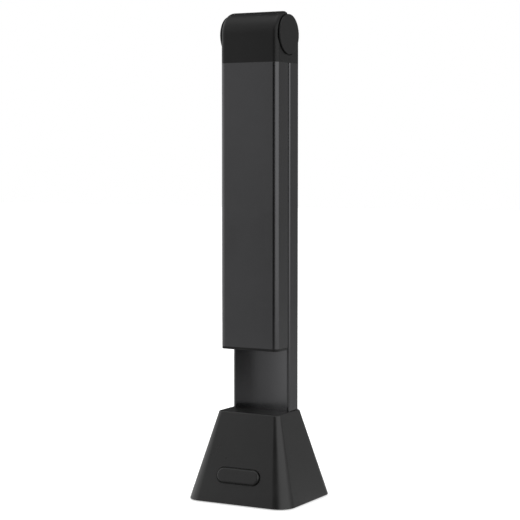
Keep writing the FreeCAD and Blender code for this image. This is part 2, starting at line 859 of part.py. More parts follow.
def make_foot_plate():
    form = extrude(
        "foot_plate_form",
        "XY_Plane",
        rounded((-foot_plate_half, foot_plate_half), (-size.foot_plate_front, foot_plate_back),
                size.weight_corner - size.foot_plate_inset),
        weight_top,
        column_bottom,
    )
    tools = [rod("foot_cable_hole", "z", size.cable_hole, weight_top - PAST, column_bottom + PAST,
                 (0, size.port_y))]
    tools += [rod(f"plate_way{number}", "z", screw_hole, weight_top - PAST, column_bottom + PAST, place)
              for number, place in enumerate(plate_screw_places)]
    tools += [sunk_hole(f"port_way{number}", weight_top, column_bottom + PAST, place)
              for number, place in enumerate(port_places)]
    notch = notch_block("foot_plate_notch", weight_top, column_bottom)
    return keep("column_foot_plate", cut("column_foot_plate", form, notch, *tools))


def make_base_screws():
    base = [screw(f"base_screw{number}", "z", size.foot_height + size.hole_fit, base_screw_tip, place)
            for number, place in enumerate(boss_places)]
    weight = [screw(f"weight_screw{number}", "z", size.foot_proud,
                    size.foot_proud + size.weight_screw_length, place, sunk=True)
              for number, place in enumerate(weight_screw_places)]
    plate = [screw(f"plate_screw{number}", "z", column_bottom + size.head_height,
                   column_bottom - size.plate_screw_length, place)
             for number, place in enumerate(plate_screw_places)]
    port = [screw(f"port_screw{number}", "z", weight_top, weight_top + size.port_screw_length,
                  place, sunk=True)
            for number, place in enumerate(port_places)]
    board_top = board_low + size.board_thickness
    board = [screw(f"socket_screw{number}", "z", board_top + size.head_height,
                   board_top - size.board_screw_length, place)
             for number, place in enumerate(socket_post_places)]
    keep("base_screws", group("base_screws", *base))
    keep("weight_screws", group("weight_screws", *weight))
    keep("foot_plate_screws", group("foot_plate_screws", *plate))
    keep("column_foot_screws", group("column_foot_screws", *port))
    keep("socket_board_screws", group("socket_board_screws", *board))


def make_socket():
    """The small board at the back and the oval socket for the cable."""
    board = block(
        "socket_board_sheet",
        (-size.socket_board_width / 2, size.socket_board_width / 2),
        (socket_board_back - size.socket_board_depth, socket_board_back),
        (board_low, board_low + size.board_thickness),
    )
    holes = [rod(f"socket_board_hole{number}", "z", screw_hole, board_low - PAST,
                 board_low + size.board_thickness + PAST, place)
             for number, place in enumerate(socket_post_places)]
    keep("socket_board", cut("socket_board", board, *holes))
    back, front = -socket_landing, -socket_front
    can = extrude("socket_can", "XZ_Plane", oval(size.socket_width, size.socket_height), back, front)
    room = extrude(
        "socket_room",
        "XZ_Plane",
        oval(size.socket_width - 2 * size.socket_wall, size.socket_height - 2 * size.socket_wall),
        back - PAST,
        front - size.tongue_thickness,
    )
    tongue = block(
        "socket_tongue",
        (-size.tongue_width / 2, size.tongue_width / 2),
        (socket_front, socket_landing - size.tongue_thickness),
        (-size.tongue_thickness / 2, size.tongue_thickness / 2),
    )
    socket = join("socket_form", cut("socket_shell", can, room), tongue)
    keep("usb_socket", move_to(socket, (0, 0, size.socket_middle)))


# Column with its head cap
cap_floor = seam_z + 2 * size.bracket_base
tongue_out = half - size.column_wall - size.fit


def make_column():
    walls = extrude("column_walls", "XY_Plane", column_outline(0, size.column_corner), column_bottom, seam_z)
    room = extrude(
        "column_room",
        "XY_Plane",
        column_outline(-size.column_wall, size.column_inner_corner),
        column_bottom - PAST,
        seam_z + PAST,
    )
    ports, bores = [], []
    for number, (x, y) in enumerate(port_places):
        ports.append(rod(f"port{number}", "z", size.port_radius, column_bottom, seam_z, (x, y)))
        ports.append(block(
            f"port_web{number}",
            (x - size.port_web / 2, x + size.port_web / 2),
            (y, size.column_depth - size.column_wall / 2),
            (column_bottom, seam_z),
        ))
        bores.append(rod(f"port_bore{number}", "z", screw_hole, column_bottom - PAST, seam_z + PAST, (x, y)))
    tube = join("column_tube_form", cut("column_shell", walls, room), *ports)
    return keep("column_tube", cut("column_tube", tube, *bores))


def make_column_cap():
    """The fixed half of the head: a knuckle between two hollows for the arm's lugs."""
    form = extrude(
        "column_cap_form",
        "XY_Plane",
        rounded((-half, half), (column_front, size.column_depth), size.back_corner, size.column_corner),
        seam_z,
        axis_z - size.seam_gap / 2,
    )
    knuckle = rod("knuckle", "x", knuckle_radius, -size.knuckle_half, size.knuckle_half, (0, axis_z))
    tongues = both_sides(lambda side: block(
        f"column_cap_tongue{side}",
        span(side, tongue_out - size.cap_tongue, tongue_out),
        (size.bracket_front, size.bracket_back),
        (seam_z - size.tongue_length, seam_z + size.cap_tongue),
    ))
    room_half = size.knuckle_half - size.knuckle_wall
    tools = both_sides(lambda side: rod(
        f"lug_hollow{side}",
        "x",
        recess_radius,
        *span(side, size.knuckle_half, half + PAST),
        (0, axis_z),
    ))
    tools.append(rod("knuckle_room", "x", knuckle_radius - size.knuckle_shell, -room_half, room_half,
                     (0, axis_z)))
    tools.append(rod("flange_way", "x", size.flange_radius + size.seam_gap, -size.knuckle_half - PAST,
                     size.knuckle_half + PAST, (0, axis_z)))
    tools.append(block(
        "leg_room",
        (-room_half, room_half),
        (size.leg_front - size.seam_gap, size.leg_back + size.seam_gap),
        (seam_z - PAST, axis_z),
    ))
    tools.append(block(
        "bracket_room",
        (-size.bracket_half - size.seam_gap, size.bracket_half + size.seam_gap),
        (size.bracket_front - size.seam_gap, size.bracket_back + size.seam_gap),
        (seam_z - PAST, seam_z + size.bracket_base + size.fit),
    ))
    tools.append(rod("cap_wire_way", "z", size.cable_hole, seam_z, axis_z - size.port_y / 2,
                     (0, size.port_y)))
    for number, place in enumerate(port_places):
        tools.append(rod(f"cap_way{number}", "z", screw_hole, seam_z, axis_z, place))
        tools.append(rod(f"cap_head_way{number}", "z", size.head_radius + size.fit, cap_floor, axis_z, place))
    cap = cut("column_cap_top", join("column_cap_solid", form, knuckle), *tools)
    keep("column_cap", join("column_cap", cap, *tongues))
    screws = [screw(f"cap_screw{number}", "z", cap_floor + size.head_height,
                    cap_floor - size.port_screw_length, place)
              for number, place in enumerate(port_places)]
    keep("column_cap_screws", group("column_cap_screws", *screws))


def make_column_bracket():
    """The steel bracket in the knuckle, with an eye on each side for a bush."""
    base = block(
        "column_bracket_base",
        (-size.bracket_half, size.bracket_half),
        (size.bracket_front, size.bracket_back),
        (seam_z, seam_z + size.bracket_base),
    )
    eye_inner = size.eye_outer - size.eye_thickness
    legs = both_sides(lambda side: block(
        f"column_bracket_leg{side}",
        span(side, eye_inner, size.eye_outer),
        (size.leg_front, size.leg_back),
        (seam_z, axis_z - size.leg_front),
    ))
    eyes = both_sides(lambda side: rod(
        f"column_bracket_eye{side}",
        "x",
        size.eye_radius,
        *span(side, eye_inner, size.eye_outer),
        (0, axis_z),
    ))
    tools = [rod("eye_bore", "x", size.bush_radius + size.hole_fit / 2, -half, half, (0, axis_z))]
    tools.append(rod("bracket_cable_hole", "z", size.cable_hole, seam_z - PAST,
                     seam_z + size.bracket_base + PAST, (0, size.port_y)))
    tools += [rod(f"bracket_way{number}", "z", screw_hole, seam_z - PAST,
                  seam_z + size.bracket_base + PAST, place)
              for number, place in enumerate(port_places)]
    form = join("column_bracket_form", base, *legs, *eyes)
    keep("column_hinge_bracket", cut("column_hinge_bracket", form, *tools))


# Friction hinge
flange_end = size.eye_outer + size.flange_thickness
axle_hole = size.axle_radius + size.hole_fit


def make_bushes():
    bushes = []
    for side in (-1, 1):
        outline = [
            (side * (size.eye_outer - size.eye_thickness), axle_hole),
            (side * flange_end, axle_hole),
            (side * flange_end, size.flange_radius),
            (side * size.eye_outer, size.flange_radius),
            (side * size.eye_outer, size.bush_radius),
            (side * (size.eye_outer - size.eye_thickness), size.bush_radius),
        ]
        bushes.append(turn(f"bush{side}", "x", outline, (0, 0, axis_z)))
    keep("hinge_bushes", group("hinge_bushes", *bushes))
    washers = both_sides(lambda side: turn(
        f"friction_washer{side}",
        "x",
        ring_outline(side, flange_end + size.rub_gap, ear_inner, axle_hole, size.flange_radius),
        (0, 0, axis_z),
    ))
    keep("friction_washers", group("friction_washers", *washers))


def ring_outline(side, near_x, far_x, inner, outer):
    """The profile of a plain ring on one side of the middle."""
    return [(side * near_x, inner), (side * far_x, inner), (side * far_x, outer), (side * near_x, outer)]


def make_axle():
    """Head on the right, flats in the left ear, thread and nut beyond them."""
    stack = size.spring_count * (size.spring_thickness + size.spring_cone)
    thread_end = ear_outer + stack + size.nut_thickness
    parts = [
        rod("axle_shank", "x", size.axle_radius, -ear_outer, ear_outer, (0, axis_z)),
        rod("axle_head", "x", size.axle_head, ear_outer, ear_outer + size.axle_head_thickness, (0, axis_z)),
        rod("axle_thread", "x", size.axle_thread, -thread_end, -ear_outer, (0, axis_z)),
    ]
    tools = [rod("axle_bore", "x", size.axle_bore, -size.axle_window / 2, half, (0, axis_z))]
    tools.append(block(
        "axle_window",
        (-size.axle_window / 2, size.axle_window / 2),
        (0, size.axle_radius + PAST),
        (axis_z - size.axle_radius - PAST, axis_z + size.axle_radius + PAST),
    ))
    for side in (-1, 1):
        flat = axis_z + side * size.axle_flats / 2
        far = axis_z + side * (size.axle_radius + PAST)
        low, high = (flat, far) if side > 0 else (far, flat)
        tools.append(block(
            f"axle_flat{side}",
            (-ear_outer, -ear_inner + size.rub_gap),
            (-size.axle_radius - PAST, size.axle_radius + PAST),
            (low, high),
        ))
    return keep("hinge_axle", cut("hinge_axle", join("axle_form", *parts), *tools))


def make_springs_and_nut():
    """Cone washers in turn about, pressed by a nut on the left end of the axle."""
    step = size.spring_thickness + size.spring_cone
    inner = size.axle_thread + size.hole_fit
    springs = []
    for number in range(SIZES["spring_count"][0]):
        start = ear_outer + number * step
        lean = size.spring_cone if number % 2 == 0 else as_size(0)
        back = size.spring_cone - lean
        outline = [
            (-start - lean, inner),
            (-start - lean - size.spring_thickness, inner),
            (-start - back - size.spring_thickness, size.spring_radius),
            (-start - back, size.spring_radius),
        ]
        springs.append(turn(f"spring{number}", "x", outline, (0, 0, axis_z)))
    keep("disc_springs", group("disc_springs", *springs))
    start = ear_outer + size.spring_count * step
    nut = doc.addObject("Part::Prism", "nut_prism")
    nut.Polygon = 6
    nut.Placement = FreeCAD.Placement(V(), TURNS["x"])
    bind(nut, "Circumradius", size.nut_flats / math.sqrt(3))
    bind(nut, "Height", size.nut_thickness)
    move_to(nut, (-start - size.nut_thickness, 0, axis_z))
    bore = rod("nut_bore", "x", inner, -half, -ear_outer, (0, axis_z))
    keep("hinge_nut", cut("hinge_nut", nut, bore))


def make_hinge_covers():
    """The round covers on both sides, each held by a short ring in the lug."""
    start = half + size.cover_gap
    end = start + size.cover_thickness
    radius = lug_radius + size.cover_overlap
    plug = pocket_radius - size.fit
    for name, side in (("left", -1), ("right", 1)):
        outline = [
            (side * start, 0),
            (side * end, 0),
            (side * end, radius - size.cover_edge),
            (side * (end - size.cover_edge), radius),
            (side * start, radius),
            (side * start, plug),
            (side * (start - size.cover_plug), plug),
            (side * (start - size.cover_plug), plug - size.cover_thickness),
            (side * start, plug - size.cover_thickness),
        ]
        label = f"hinge_cover_{name}"
        keep(label, turn(label, "x", outline, (0, 0, axis_z)))


# Arm: metal shell, plastic head and tip, and the steel bracket that joins it to the axle
pocket_radius = size.spring_radius + 2 * size.fit
wire_out = ear_outer + size.axle_head_thickness + 1.3 * size.wire_radius
rail_screw_tip = arm_front + size.arm_wall
rail_top = rail_screw_tip + size.rail_height
board_top = rail_top + size.board_thickness
panel_back = arm_back - size.lip_depth - size.hole_fit
panel_front = panel_back - size.panel_thickness
ledge_back = panel_front - size.hole_fit
ledge_front = ledge_back - size.ledge_depth
arm_room = half - size.arm_wall
bracket_low = seam_z - size.bracket_length
bracket_high = seam_z - size.cap_tongue
camera_z = tip_z - size.end_cap + size.camera_from_tip
camera_top = camera_z + size.camera_board_length / 2
main_low = camera_top + size.main_board_gap
main_high = main_low + size.main_board_length
light_low = camera_z + size.bezel_radius + size.light_gap
light_high = light_low + size.light_length
light_z = (light_low + light_high) / 2
post_places = [(0, light_low - size.post_out), (0, light_high + size.post_out)]


def rail_places(low, high, inset):
    """Four screw places on the two rails, inside the ends of what they hold."""
    return [(side * size.rail_x, z) for side in (-1, 1) for z in (low + inset, high - inset)]


bracket_places = rail_places(bracket_low, bracket_high, 2 * size.head_radius)
board_inset = size.head_radius + size.fit
board_places = rail_places(camera_z - size.camera_board_length / 2, camera_top, board_inset)
board_places += rail_places(main_low, main_high, board_inset)


def arm_outline():
    """The outside section of the arm, with large front corners."""
    return rounded((-half, half), (arm_front, arm_back), size.arm_corner, size.back_corner)


def make_arm_shell():
    walls = extrude("arm_walls", "XY_Plane", arm_outline(), tip_z, seam_z)
    room = extrude(
        "arm_room",
        "XY_Plane",
        rounded((-arm_room, arm_room), (arm_front + size.arm_wall, PAST), size.arm_inner_corner),
        tip_z - PAST,
        seam_z + PAST,
    )
    inner = []
    for side in (-1, 1):
        reach = span(side, arm_room - size.lip_reach, arm_room + size.arm_wall / 2)
        inner.append(block(f"lip{side}", reach, (arm_back - size.lip_depth, arm_back), (tip_z, seam_z)))
        inner.append(block(f"ledge{side}", reach, (ledge_front, ledge_back), (tip_z, seam_z)))
        inner.append(block(
            f"rail{side}",
            span(side, size.rail_x - size.rail_width / 2, size.rail_x + size.rail_width / 2),
            (arm_front + size.arm_wall / 2, rail_top),
            (tip_z, seam_z),
        ))
    holes = [rod(f"rail_hole{number}", "y", screw_hole, rail_screw_tip - 2 * size.fit, rail_top + PAST, place)
             for number, place in enumerate(bracket_places + board_places)]
    shell = join("arm_shell_form", cut("arm_channel", walls, room), *inner)
    return keep("arm_shell", cut("arm_shell", shell, *holes))


def make_arm_head():
    """The moving half of the head: a quarter-round hood with a lug on each side."""
    reach = root(size.arm_depth * size.arm_depth - arm_back * arm_back)
    form = extrude(
        "arm_head_form",
        "YZ_Plane",
        [
            (arm_front, seam_z),
            (arm_back, seam_z),
            (arm_back, axis_z + reach, (0, axis_z)),
            (arm_front, axis_z),
        ],
        -half,
        half,
    )
    soften(form, "arm_head_rounding", size.arm_corner, lambda middle, box: (
        near(abs(middle.x), half) and middle.y < -PAST and box.ZMax > float(seam_z) + PAST
        and middle.y < -float(size.arm_depth) / 2 and not near(box.ZMin, box.ZMax)))
    lugs = both_sides(lambda side: rod(
        f"lug{side}", "x", lug_radius, *span(side, lug_inner, half), (0, axis_z)))
    hood_radius = knuckle_radius + size.seam_gap
    tools = [rod("hood_room", "x", hood_radius, -lug_inner, lug_inner, (0, axis_z))]
    room = half - size.cap_wall
    tools.append(block(
        "head_room",
        (-room, room),
        (arm_front + size.cap_wall, arm_back - size.cap_wall),
        (seam_z - PAST, axis_z - hood_radius - size.arm_wall),
    ))
    for side in (-1, 1):
        ear_span = span(side, lug_inner - PAST, ear_outer + size.fit)
        tools.append(rod(f"ear_room{side}", "x", size.ear_radius + size.fit, *ear_span, (0, axis_z)))
        tools.append(block(
            f"ear_leg_room{side}",
            ear_span,
            (rail_top - size.fit, -size.ear_back + size.fit),
            (seam_z - PAST, axis_z),
        ))
        tools.append(rod(f"lug_pocket{side}", "x", pocket_radius, *span(side, ear_outer, half + PAST),
                         (0, axis_z)))
    tools.append(block(
        "head_wire_way",
        (ear_outer, wire_out + size.wire_radius + size.fit),
        (-size.ear_radius, -size.ear_back + size.fit),
        (seam_z, axis_z - size.ear_back),
    ))
    tongues = both_sides(lambda side: block(
        f"arm_head_tongue{side}",
        span(side, tongue_out - size.cap_tongue, tongue_out),
        (rail_top, -size.ear_back - size.cap_tongue),
        (seam_z - size.tongue_length, seam_z + 2 * size.cap_tongue),
    ))
    head = cut("arm_head_top", join("arm_head_solid", form, *lugs), *tools)
    return keep("arm_head", join("arm_head", head, *tongues))


def make_arm_bracket():
    """The steel bracket that carries the arm on the axle."""
    plate = block(
        "arm_bracket_plate",
        (-ear_outer, ear_outer),
        (rail_top, rail_top + size.ear_thickness),
        (bracket_low, bracket_high),
    )
    ears = []
    for side in (-1, 1):
        x = span(side, ear_inner, ear_outer)
        ears.append(block(f"ear_leg{side}", x, (rail_top, -size.ear_back), (bracket_low, axis_z)))
        ears.append(rod(f"ear{side}", "x", size.ear_radius, *x, (0, axis_z)))
    round_bore = rod("right_ear_bore", "x", axle_hole, ear_inner - PAST, ear_outer + PAST, (0, axis_z))
    keyed_rod = rod("left_ear_rod", "x", axle_hole, -ear_outer - PAST, -ear_inner + PAST, (0, axis_z))
    flats = size.axle_flats / 2 + size.hole_fit
    keyed_block = block(
        "left_ear_flats",
        (-ear_outer - PAST, -ear_inner + PAST),
        (-size.axle_radius - PAST, size.axle_radius + PAST),
        (axis_z - flats, axis_z + flats),
    )
    keyed_bore = doc.addObject("Part::MultiCommon", "left_ear_bore")
    keyed_bore.Shapes = [keyed_rod, keyed_block]
    holes = [rod(f"arm_bracket_way{number}", "y", screw_hole, rail_top - PAST,
                 rail_top + size.ear_thickness + PAST, place)
             for number, place in enumerate(bracket_places)]
    form = join("arm_bracket_form", plate, *ears)
    keep("arm_hinge_bracket", cut("arm_hinge_bracket", form, round_bore, keyed_bore, *holes))
    seat = rail_top + size.ear_thickness
    screws = [screw(f"arm_bracket_screw{number}", "y", seat + size.head_height, rail_screw_tip, place)
              for number, place in enumerate(bracket_places)]
    keep("arm_bracket_screws", group("arm_bracket_screws", *screws))


def make_end_cap():
    plate = extrude("end_cap_plate", "XY_Plane", arm_outline(), tip_z - size.end_cap, tip_z)
    plug = block(
        "end_cap_plug",
        (-arm_room + size.fit, arm_room - size.fit),
        (rail_top + size.fit, ledge_front - size.fit),
        (tip_z, tip_z + size.plug_length),
    )
    return keep("arm_end_cap", join("arm_end_cap", plate, plug))


def make_underside_cover():
    """The panel that faces the page, with the window ring and the light opening."""
    room = arm_room - size.fit
    panel = block("panel_sheet", (-room, room), (panel_front, panel_back),
                  (tip_z + size.fit, seam_z - size.fit))
    ring_edge = size.cover_edge
    ring = turn(
        "window_ring",
        "y",
        [
            (size.bezel_proud, 0),
            (size.bezel_proud, size.bezel_radius - ring_edge),
            (size.bezel_proud - ring_edge, size.bezel_radius),
            (-size.panel_thickness / 2, size.bezel_radius),
            (-size.panel_thickness / 2, 0),
        ],
        (0, panel_back, camera_z),
    )
    posts = [rod(f"light_post{number}", "y", size.post_radius, led_board_back, panel_back, place)
             for number, place in enumerate(post_places)]
    tools = [rod("window_seat", "y", size.window_radius + size.hole_fit,
                 window_front_y - size.window_thickness, panel_back + size.bezel_proud + PAST, (0, camera_z))]
    tools.append(rod("sight_hole", "y", size.sight_radius, panel_front - PAST, panel_back + PAST,
                     (0, camera_z)))
    tools.append(light_block("light_opening", 0, panel_front - PAST, panel_back + PAST))
    tools.append(rod("key_seat", "y", size.key_radius + size.hole_fit, panel_back - size.key_thickness,
                     panel_back + PAST, (0, key_z)))
    tools += [rod(f"post_hole{number}", "y", screw_hole, led_board_back - PAST,
                  panel_front + size.fit, place)
              for number, place in enumerate(post_places)]
    keep("underside_cover", cut("underside_cover", join("underside_form", panel, ring, *posts), *tools))
    keep("light_touch_key", rod("light_touch_key", "y", size.key_radius, panel_back - size.key_thickness,
                                panel_back, (0, key_z)))


window_front_y = panel_back + size.bezel_proud - size.window_sink
key_z = light_high + size.key_gap
led_board_back = panel_front - size.flange_depth - size.led_board_gap
led_board_front = led_board_back - size.board_thickness


def light_block(name, grow, low, high):
    """The rounded light window, grown all round, between two depths."""
    x = size.light_width / 2 + grow
    z = size.light_length / 2 + grow
    body = extrude(name, "XZ_Plane", rounded((-x, x), (-z, z), size.light_corner + grow), -high, -low)
    return move_to(body, (0, 0, light_z))


def make_light():
    """Diffuser, LED board and LEDs of the light bar."""
    window = light_block("diffuser_window", -size.fit, panel_front - size.flange_depth / 2, panel_back)
    flange = light_block("diffuser_flange", size.light_flange, panel_front - size.flange_depth, panel_front)
    keep("light_diffuser", join("light_diffuser", window, flange))
    board_half = size.post_out + size.light_length / 2 + size.head_radius + size.fit
    width = size.light_width / 2
    board = block(
        "led_board_sheet",
        (-width, width),
        (led_board_front, led_board_back),
        (light_z - board_half, light_z + board_half),
    )
    holes = [rod(f"led_board_hole{number}", "y", screw_hole, led_board_front - PAST,
                 led_board_back + PAST, place)
             for number, place in enumerate(post_places)]
    keep("led_board", cut("led_board", board, *holes))
    count = SIZES["led_count"][0]
    pitch = size.light_length / size.led_count
    leds = []
    for number in range(count):
        middle = light_low + pitch * (number + 0.5)
        leds.append(block(
            f"led{number}",
            (-size.led_side / 2, size.led_side / 2),
            (led_board_back, led_board_back + size.led_height),
            (middle - size.led_side / 2, middle + size.led_side / 2),
        ))
    keep("leds", group("leds", *leds))
    screws = [screw(f"led_board_screw{number}", "y", led_board_front - size.head_height,
                    panel_front - size.hole_fit, place)
              for number, place in enumerate(post_places)]
    keep("led_board_screws", group("led_board_screws", *screws))


def make_camera():
    """Camera board, sensor, lens holder, barrel, front lens and window."""
    sheet = size.board_width / 2
    board = block("camera_board_sheet", (-sheet, sheet), (rail_top, board_top),
                  (camera_z - size.camera_board_length / 2, camera_top))
    camera_places, main_places = board_places[:4], board_places[4:]
    holes = [rod(f"camera_board_hole{number}", "y", screw_hole, rail_top - PAST, board_top + PAST, place)
             for number, place in enumerate(camera_places)]
    keep("camera_board", cut("camera_board", board, *holes))
    sensor = size.sensor_side / 2
    keep("image_sensor", block("image_sensor", (-sensor, sensor), (board_top, board_top + size.sensor_height),
                               (camera_z - sensor, camera_z + sensor)))
    side = size.holder_side / 2
    holder = block("lens_holder_block", (-side, side), (board_top, board_top + size.holder_height),
                   (camera_z - side, camera_z + side))
    bore = rod("lens_holder_bore", "y", size.barrel_radius + size.hole_fit, board_top - PAST,
               board_top + size.holder_height + PAST, (0, camera_z))
    keep("lens_holder", cut("lens_holder", holder, bore))
    front = -size.barrel_front
    back = front - size.barrel_length
    collar = board_top + size.holder_height
    barrel = turn(
        "lens_barrel",
        "y",
        [
            (front, size.element_radius),
            (front, size.barrel_radius + size.flange_depth),
            (collar, size.barrel_radius + size.flange_depth),
            (collar, size.barrel_radius),
            (back, size.barrel_radius),
            (back, size.barrel_radius / 2),
            (front - size.window_thickness - size.flange_depth, size.barrel_radius / 2),
            (front - size.window_thickness - size.flange_depth, size.element_radius),
        ],
        (0, 0, camera_z),
    )
    keep("lens_barrel", barrel)
    ball = doc.addObject("Part::Sphere", "lens_ball")
    bind(ball, "Radius", 2 * size.element_radius)
    move_to(ball, (0, front - size.hole_fit - 2 * size.element_radius, camera_z))
    disc = rod("lens_disc", "y", size.element_radius - size.hole_fit / 2,
               front - size.window_thickness - size.flange_depth, front, (0, camera_z))
    lens = doc.addObject("Part::MultiCommon", "front_lens")
    lens.Shapes = [ball, disc]
    keep("front_lens", lens)
    keep("camera_window", rod("camera_window", "y", size.window_radius,
                              window_front_y - size.window_thickness, window_front_y, (0, camera_z)))
    main = block("main_board_sheet", (-sheet, sheet), (rail_top, board_top), (main_low, main_high))
    holes = [rod(f"main_board_hole{number}", "y", screw_hole, rail_top - PAST, board_top + PAST, place)
             for number, place in enumerate(main_places)]
    keep("main_board", cut("main_board", main, *holes))
    top = board_top + size.chip_height
    chip = size.chip_side / 2
    low = main_high - size.flex_arch - 2 * size.chip_side
    keep("main_board_chips", group(
        "main_board_chips",
        block("processor", (-chip, chip), (board_top, top), (low, low + size.chip_side)),
        block("memory", (-chip, chip), (board_top, top), (low - size.chip_side, low - chip / 2)),
    ))
    reach = size.connector_width / 2
    connector_low = main_low + size.chip_side
    keep("light_connector", block("light_connector", (-reach, reach), (board_top, led_board_front),
                                  (connector_low, connector_low + size.connector_depth)))
    screws = [screw(f"board_screw{number}", "y", board_top + size.head_height, rail_screw_tip, place)
              for number, place in enumerate(board_places)]
    keep("arm_board_screws", group("arm_board_screws", *screws))


def make_wiring():
    """Flat cable between the boards, and the wire bundle through the hollow axle."""
    start, end = camera_top - size.wire_bend, main_low + size.wire_bend
    arch = board_top + size.flex_arch
    thick = size.flex_thickness
    rise = size.flex_arch
    flex = extrude(
        "camera_flex_form",
        "YZ_Plane",
        [
            (board_top, start),
            (board_top + thick, start),
            (board_top + thick, start + size.wire_bend),
            (arch + thick, start + size.wire_bend + rise),
            (arch + thick, end - size.wire_bend - rise),
            (board_top + thick, end - size.wire_bend),
            (board_top + thick, end),
            (board_top, end),
            (board_top, end - size.wire_bend),
            (arch, end - size.wire_bend - rise),
            (arch, start + size.wire_bend + rise),
            (board_top, start + size.wire_bend),
        ],
        -size.flex_width / 2,
        size.flex_width / 2,
    )
    keep("camera_flat_cable", flex)
    lift = board_low + size.board_thickness + size.wire_radius
    turn_up = axis_z - size.port_y
    keep("column_wires", wire(
        "column_wires",
        [
            (0, socket_front - size.fit, lift),
            (0, size.port_y, lift),
            (0, size.port_y, turn_up),
            (0, 0, axis_z),
            (size.axle_window / 2 + size.wire_radius, 0, axis_z),
        ],
        size.wire_radius,
        size.wire_bend,
    ))
    inside = ear_outer + size.wire_radius + size.fit
    down = -(size.ear_back + size.wire_radius + size.flex_arch)
    keep("arm_wires", wire(
        "arm_wires",
        [
            (size.axle_window / 2 + 1.2 * size.wire_radius, 0, axis_z),
            (wire_out, 0, axis_z),
            (wire_out, down, axis_z - size.ear_radius),
            (inside, down, seam_z + 3 * size.cap_tongue),
            (inside, down, main_high + size.light_gap),
            (0, board_top + size.wire_radius, main_high - size.wire_bend),
        ],
        size.wire_radius,
        size.wire_bend / 2,
    ))


def build():
    make_base_shell()
    make_badge()
    make_bottom_plate()
    make_feet()
    make_weight()
    make_foot_plate()
    make_base_screws()
    make_socket()
    make_column()
    make_column_cap()
    make_column_bracket()
    make_bushes()
    make_axle()
    make_springs_and_nut()
    make_hinge_covers()
    make_arm_shell()
    make_arm_head()
    make_arm_bracket()
    make_end_cap()
    make_underside_cover()
    make_light()
    make_camera()
    make_wiring()
    doc.recompute()


def write_parts():
    """Check every object and sub-part, then write one file for each sub-part."""
    for thing in doc.Objects:
        if "Invalid" in thing.State or "Error" in thing.State:
            raise RuntimeError(f"{thing.Name} failed: {thing.State}")
    for piece in pieces:
        if piece.Shape.isNull() or not piece.Shape.isValid() or not piece.Shape.Solids:
            raise RuntimeError(f"{piece.Label} has no valid solid")
    os.makedirs("parts", exist_ok=True)
    for piece in pieces:
        piece.Shape.exportStep(f"parts/{piece.Label}.step")
        print(f"{piece.Label}: {len(piece.Shape.Solids)} solid(s), {piece.Shape.Volume / 1000:.2f} cm3")


build()
write_parts()
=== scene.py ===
# The looks of the folding document scanner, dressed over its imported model.
import json
import math

import bmesh
import bpy
from mathutils import Matrix, Vector


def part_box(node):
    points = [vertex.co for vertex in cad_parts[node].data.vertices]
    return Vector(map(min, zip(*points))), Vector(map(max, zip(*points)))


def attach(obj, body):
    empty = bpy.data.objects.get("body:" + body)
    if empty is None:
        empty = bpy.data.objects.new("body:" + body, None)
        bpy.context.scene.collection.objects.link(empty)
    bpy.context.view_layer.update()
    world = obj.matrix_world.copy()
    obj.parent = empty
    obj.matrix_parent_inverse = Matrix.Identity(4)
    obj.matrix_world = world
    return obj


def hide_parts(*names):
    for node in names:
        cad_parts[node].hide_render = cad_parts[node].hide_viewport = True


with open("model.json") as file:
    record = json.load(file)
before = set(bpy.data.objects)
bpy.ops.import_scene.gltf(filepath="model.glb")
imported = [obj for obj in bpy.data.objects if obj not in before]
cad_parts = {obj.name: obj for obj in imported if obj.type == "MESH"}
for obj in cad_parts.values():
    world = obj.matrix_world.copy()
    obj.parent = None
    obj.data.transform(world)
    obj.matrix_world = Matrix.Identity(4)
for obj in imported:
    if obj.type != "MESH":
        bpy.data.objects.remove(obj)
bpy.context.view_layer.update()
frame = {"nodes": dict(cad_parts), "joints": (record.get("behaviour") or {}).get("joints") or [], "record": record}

MM = 0.001
NEAR = 0.001 * MM  # closer than this, two points share a place
PHOTO = 520  # the photograph's width, in pixels
CREASE = math.radians(32)  # where two faces turn by more, the edge stays sharp

# Sizes, read from the frame
hinge = Vector(frame["joints"][0]["pos_m"])
base_low, base_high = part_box("base_shell")
column_low, column_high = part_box("column_tube")
cap_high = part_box("column_cap")[1]
arm_low, arm_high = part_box("arm_shell")
head_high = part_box("arm_head")[1]
tip_low, tip_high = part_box("arm_end_cap")
disc_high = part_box("hinge_cover_right")[1]
panel_low, panel_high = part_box("underside_cover")
window_low, window_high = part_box("camera_window")
light_low, light_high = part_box("light_diffuser")
key_low, key_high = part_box("light_touch_key")
badge_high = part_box("oval_badge")[1]
socket_low, socket_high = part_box("usb_socket")
ears_low, ears_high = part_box("arm_hinge_bracket")
eyes_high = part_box("column_hinge_bracket")[1]
springs_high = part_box("disc_springs")[1]
led_board_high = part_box("led_board")[1]

half = column_high.x
seam_z = arm_high.z
cap_face = -arm_high.y
axis_z = hinge.z
hood_radius = head_high.z - axis_z
knuckle_radius = cap_high.z - axis_z
lug_radius = head_high.y
disc_radius = disc_high.z - axis_z

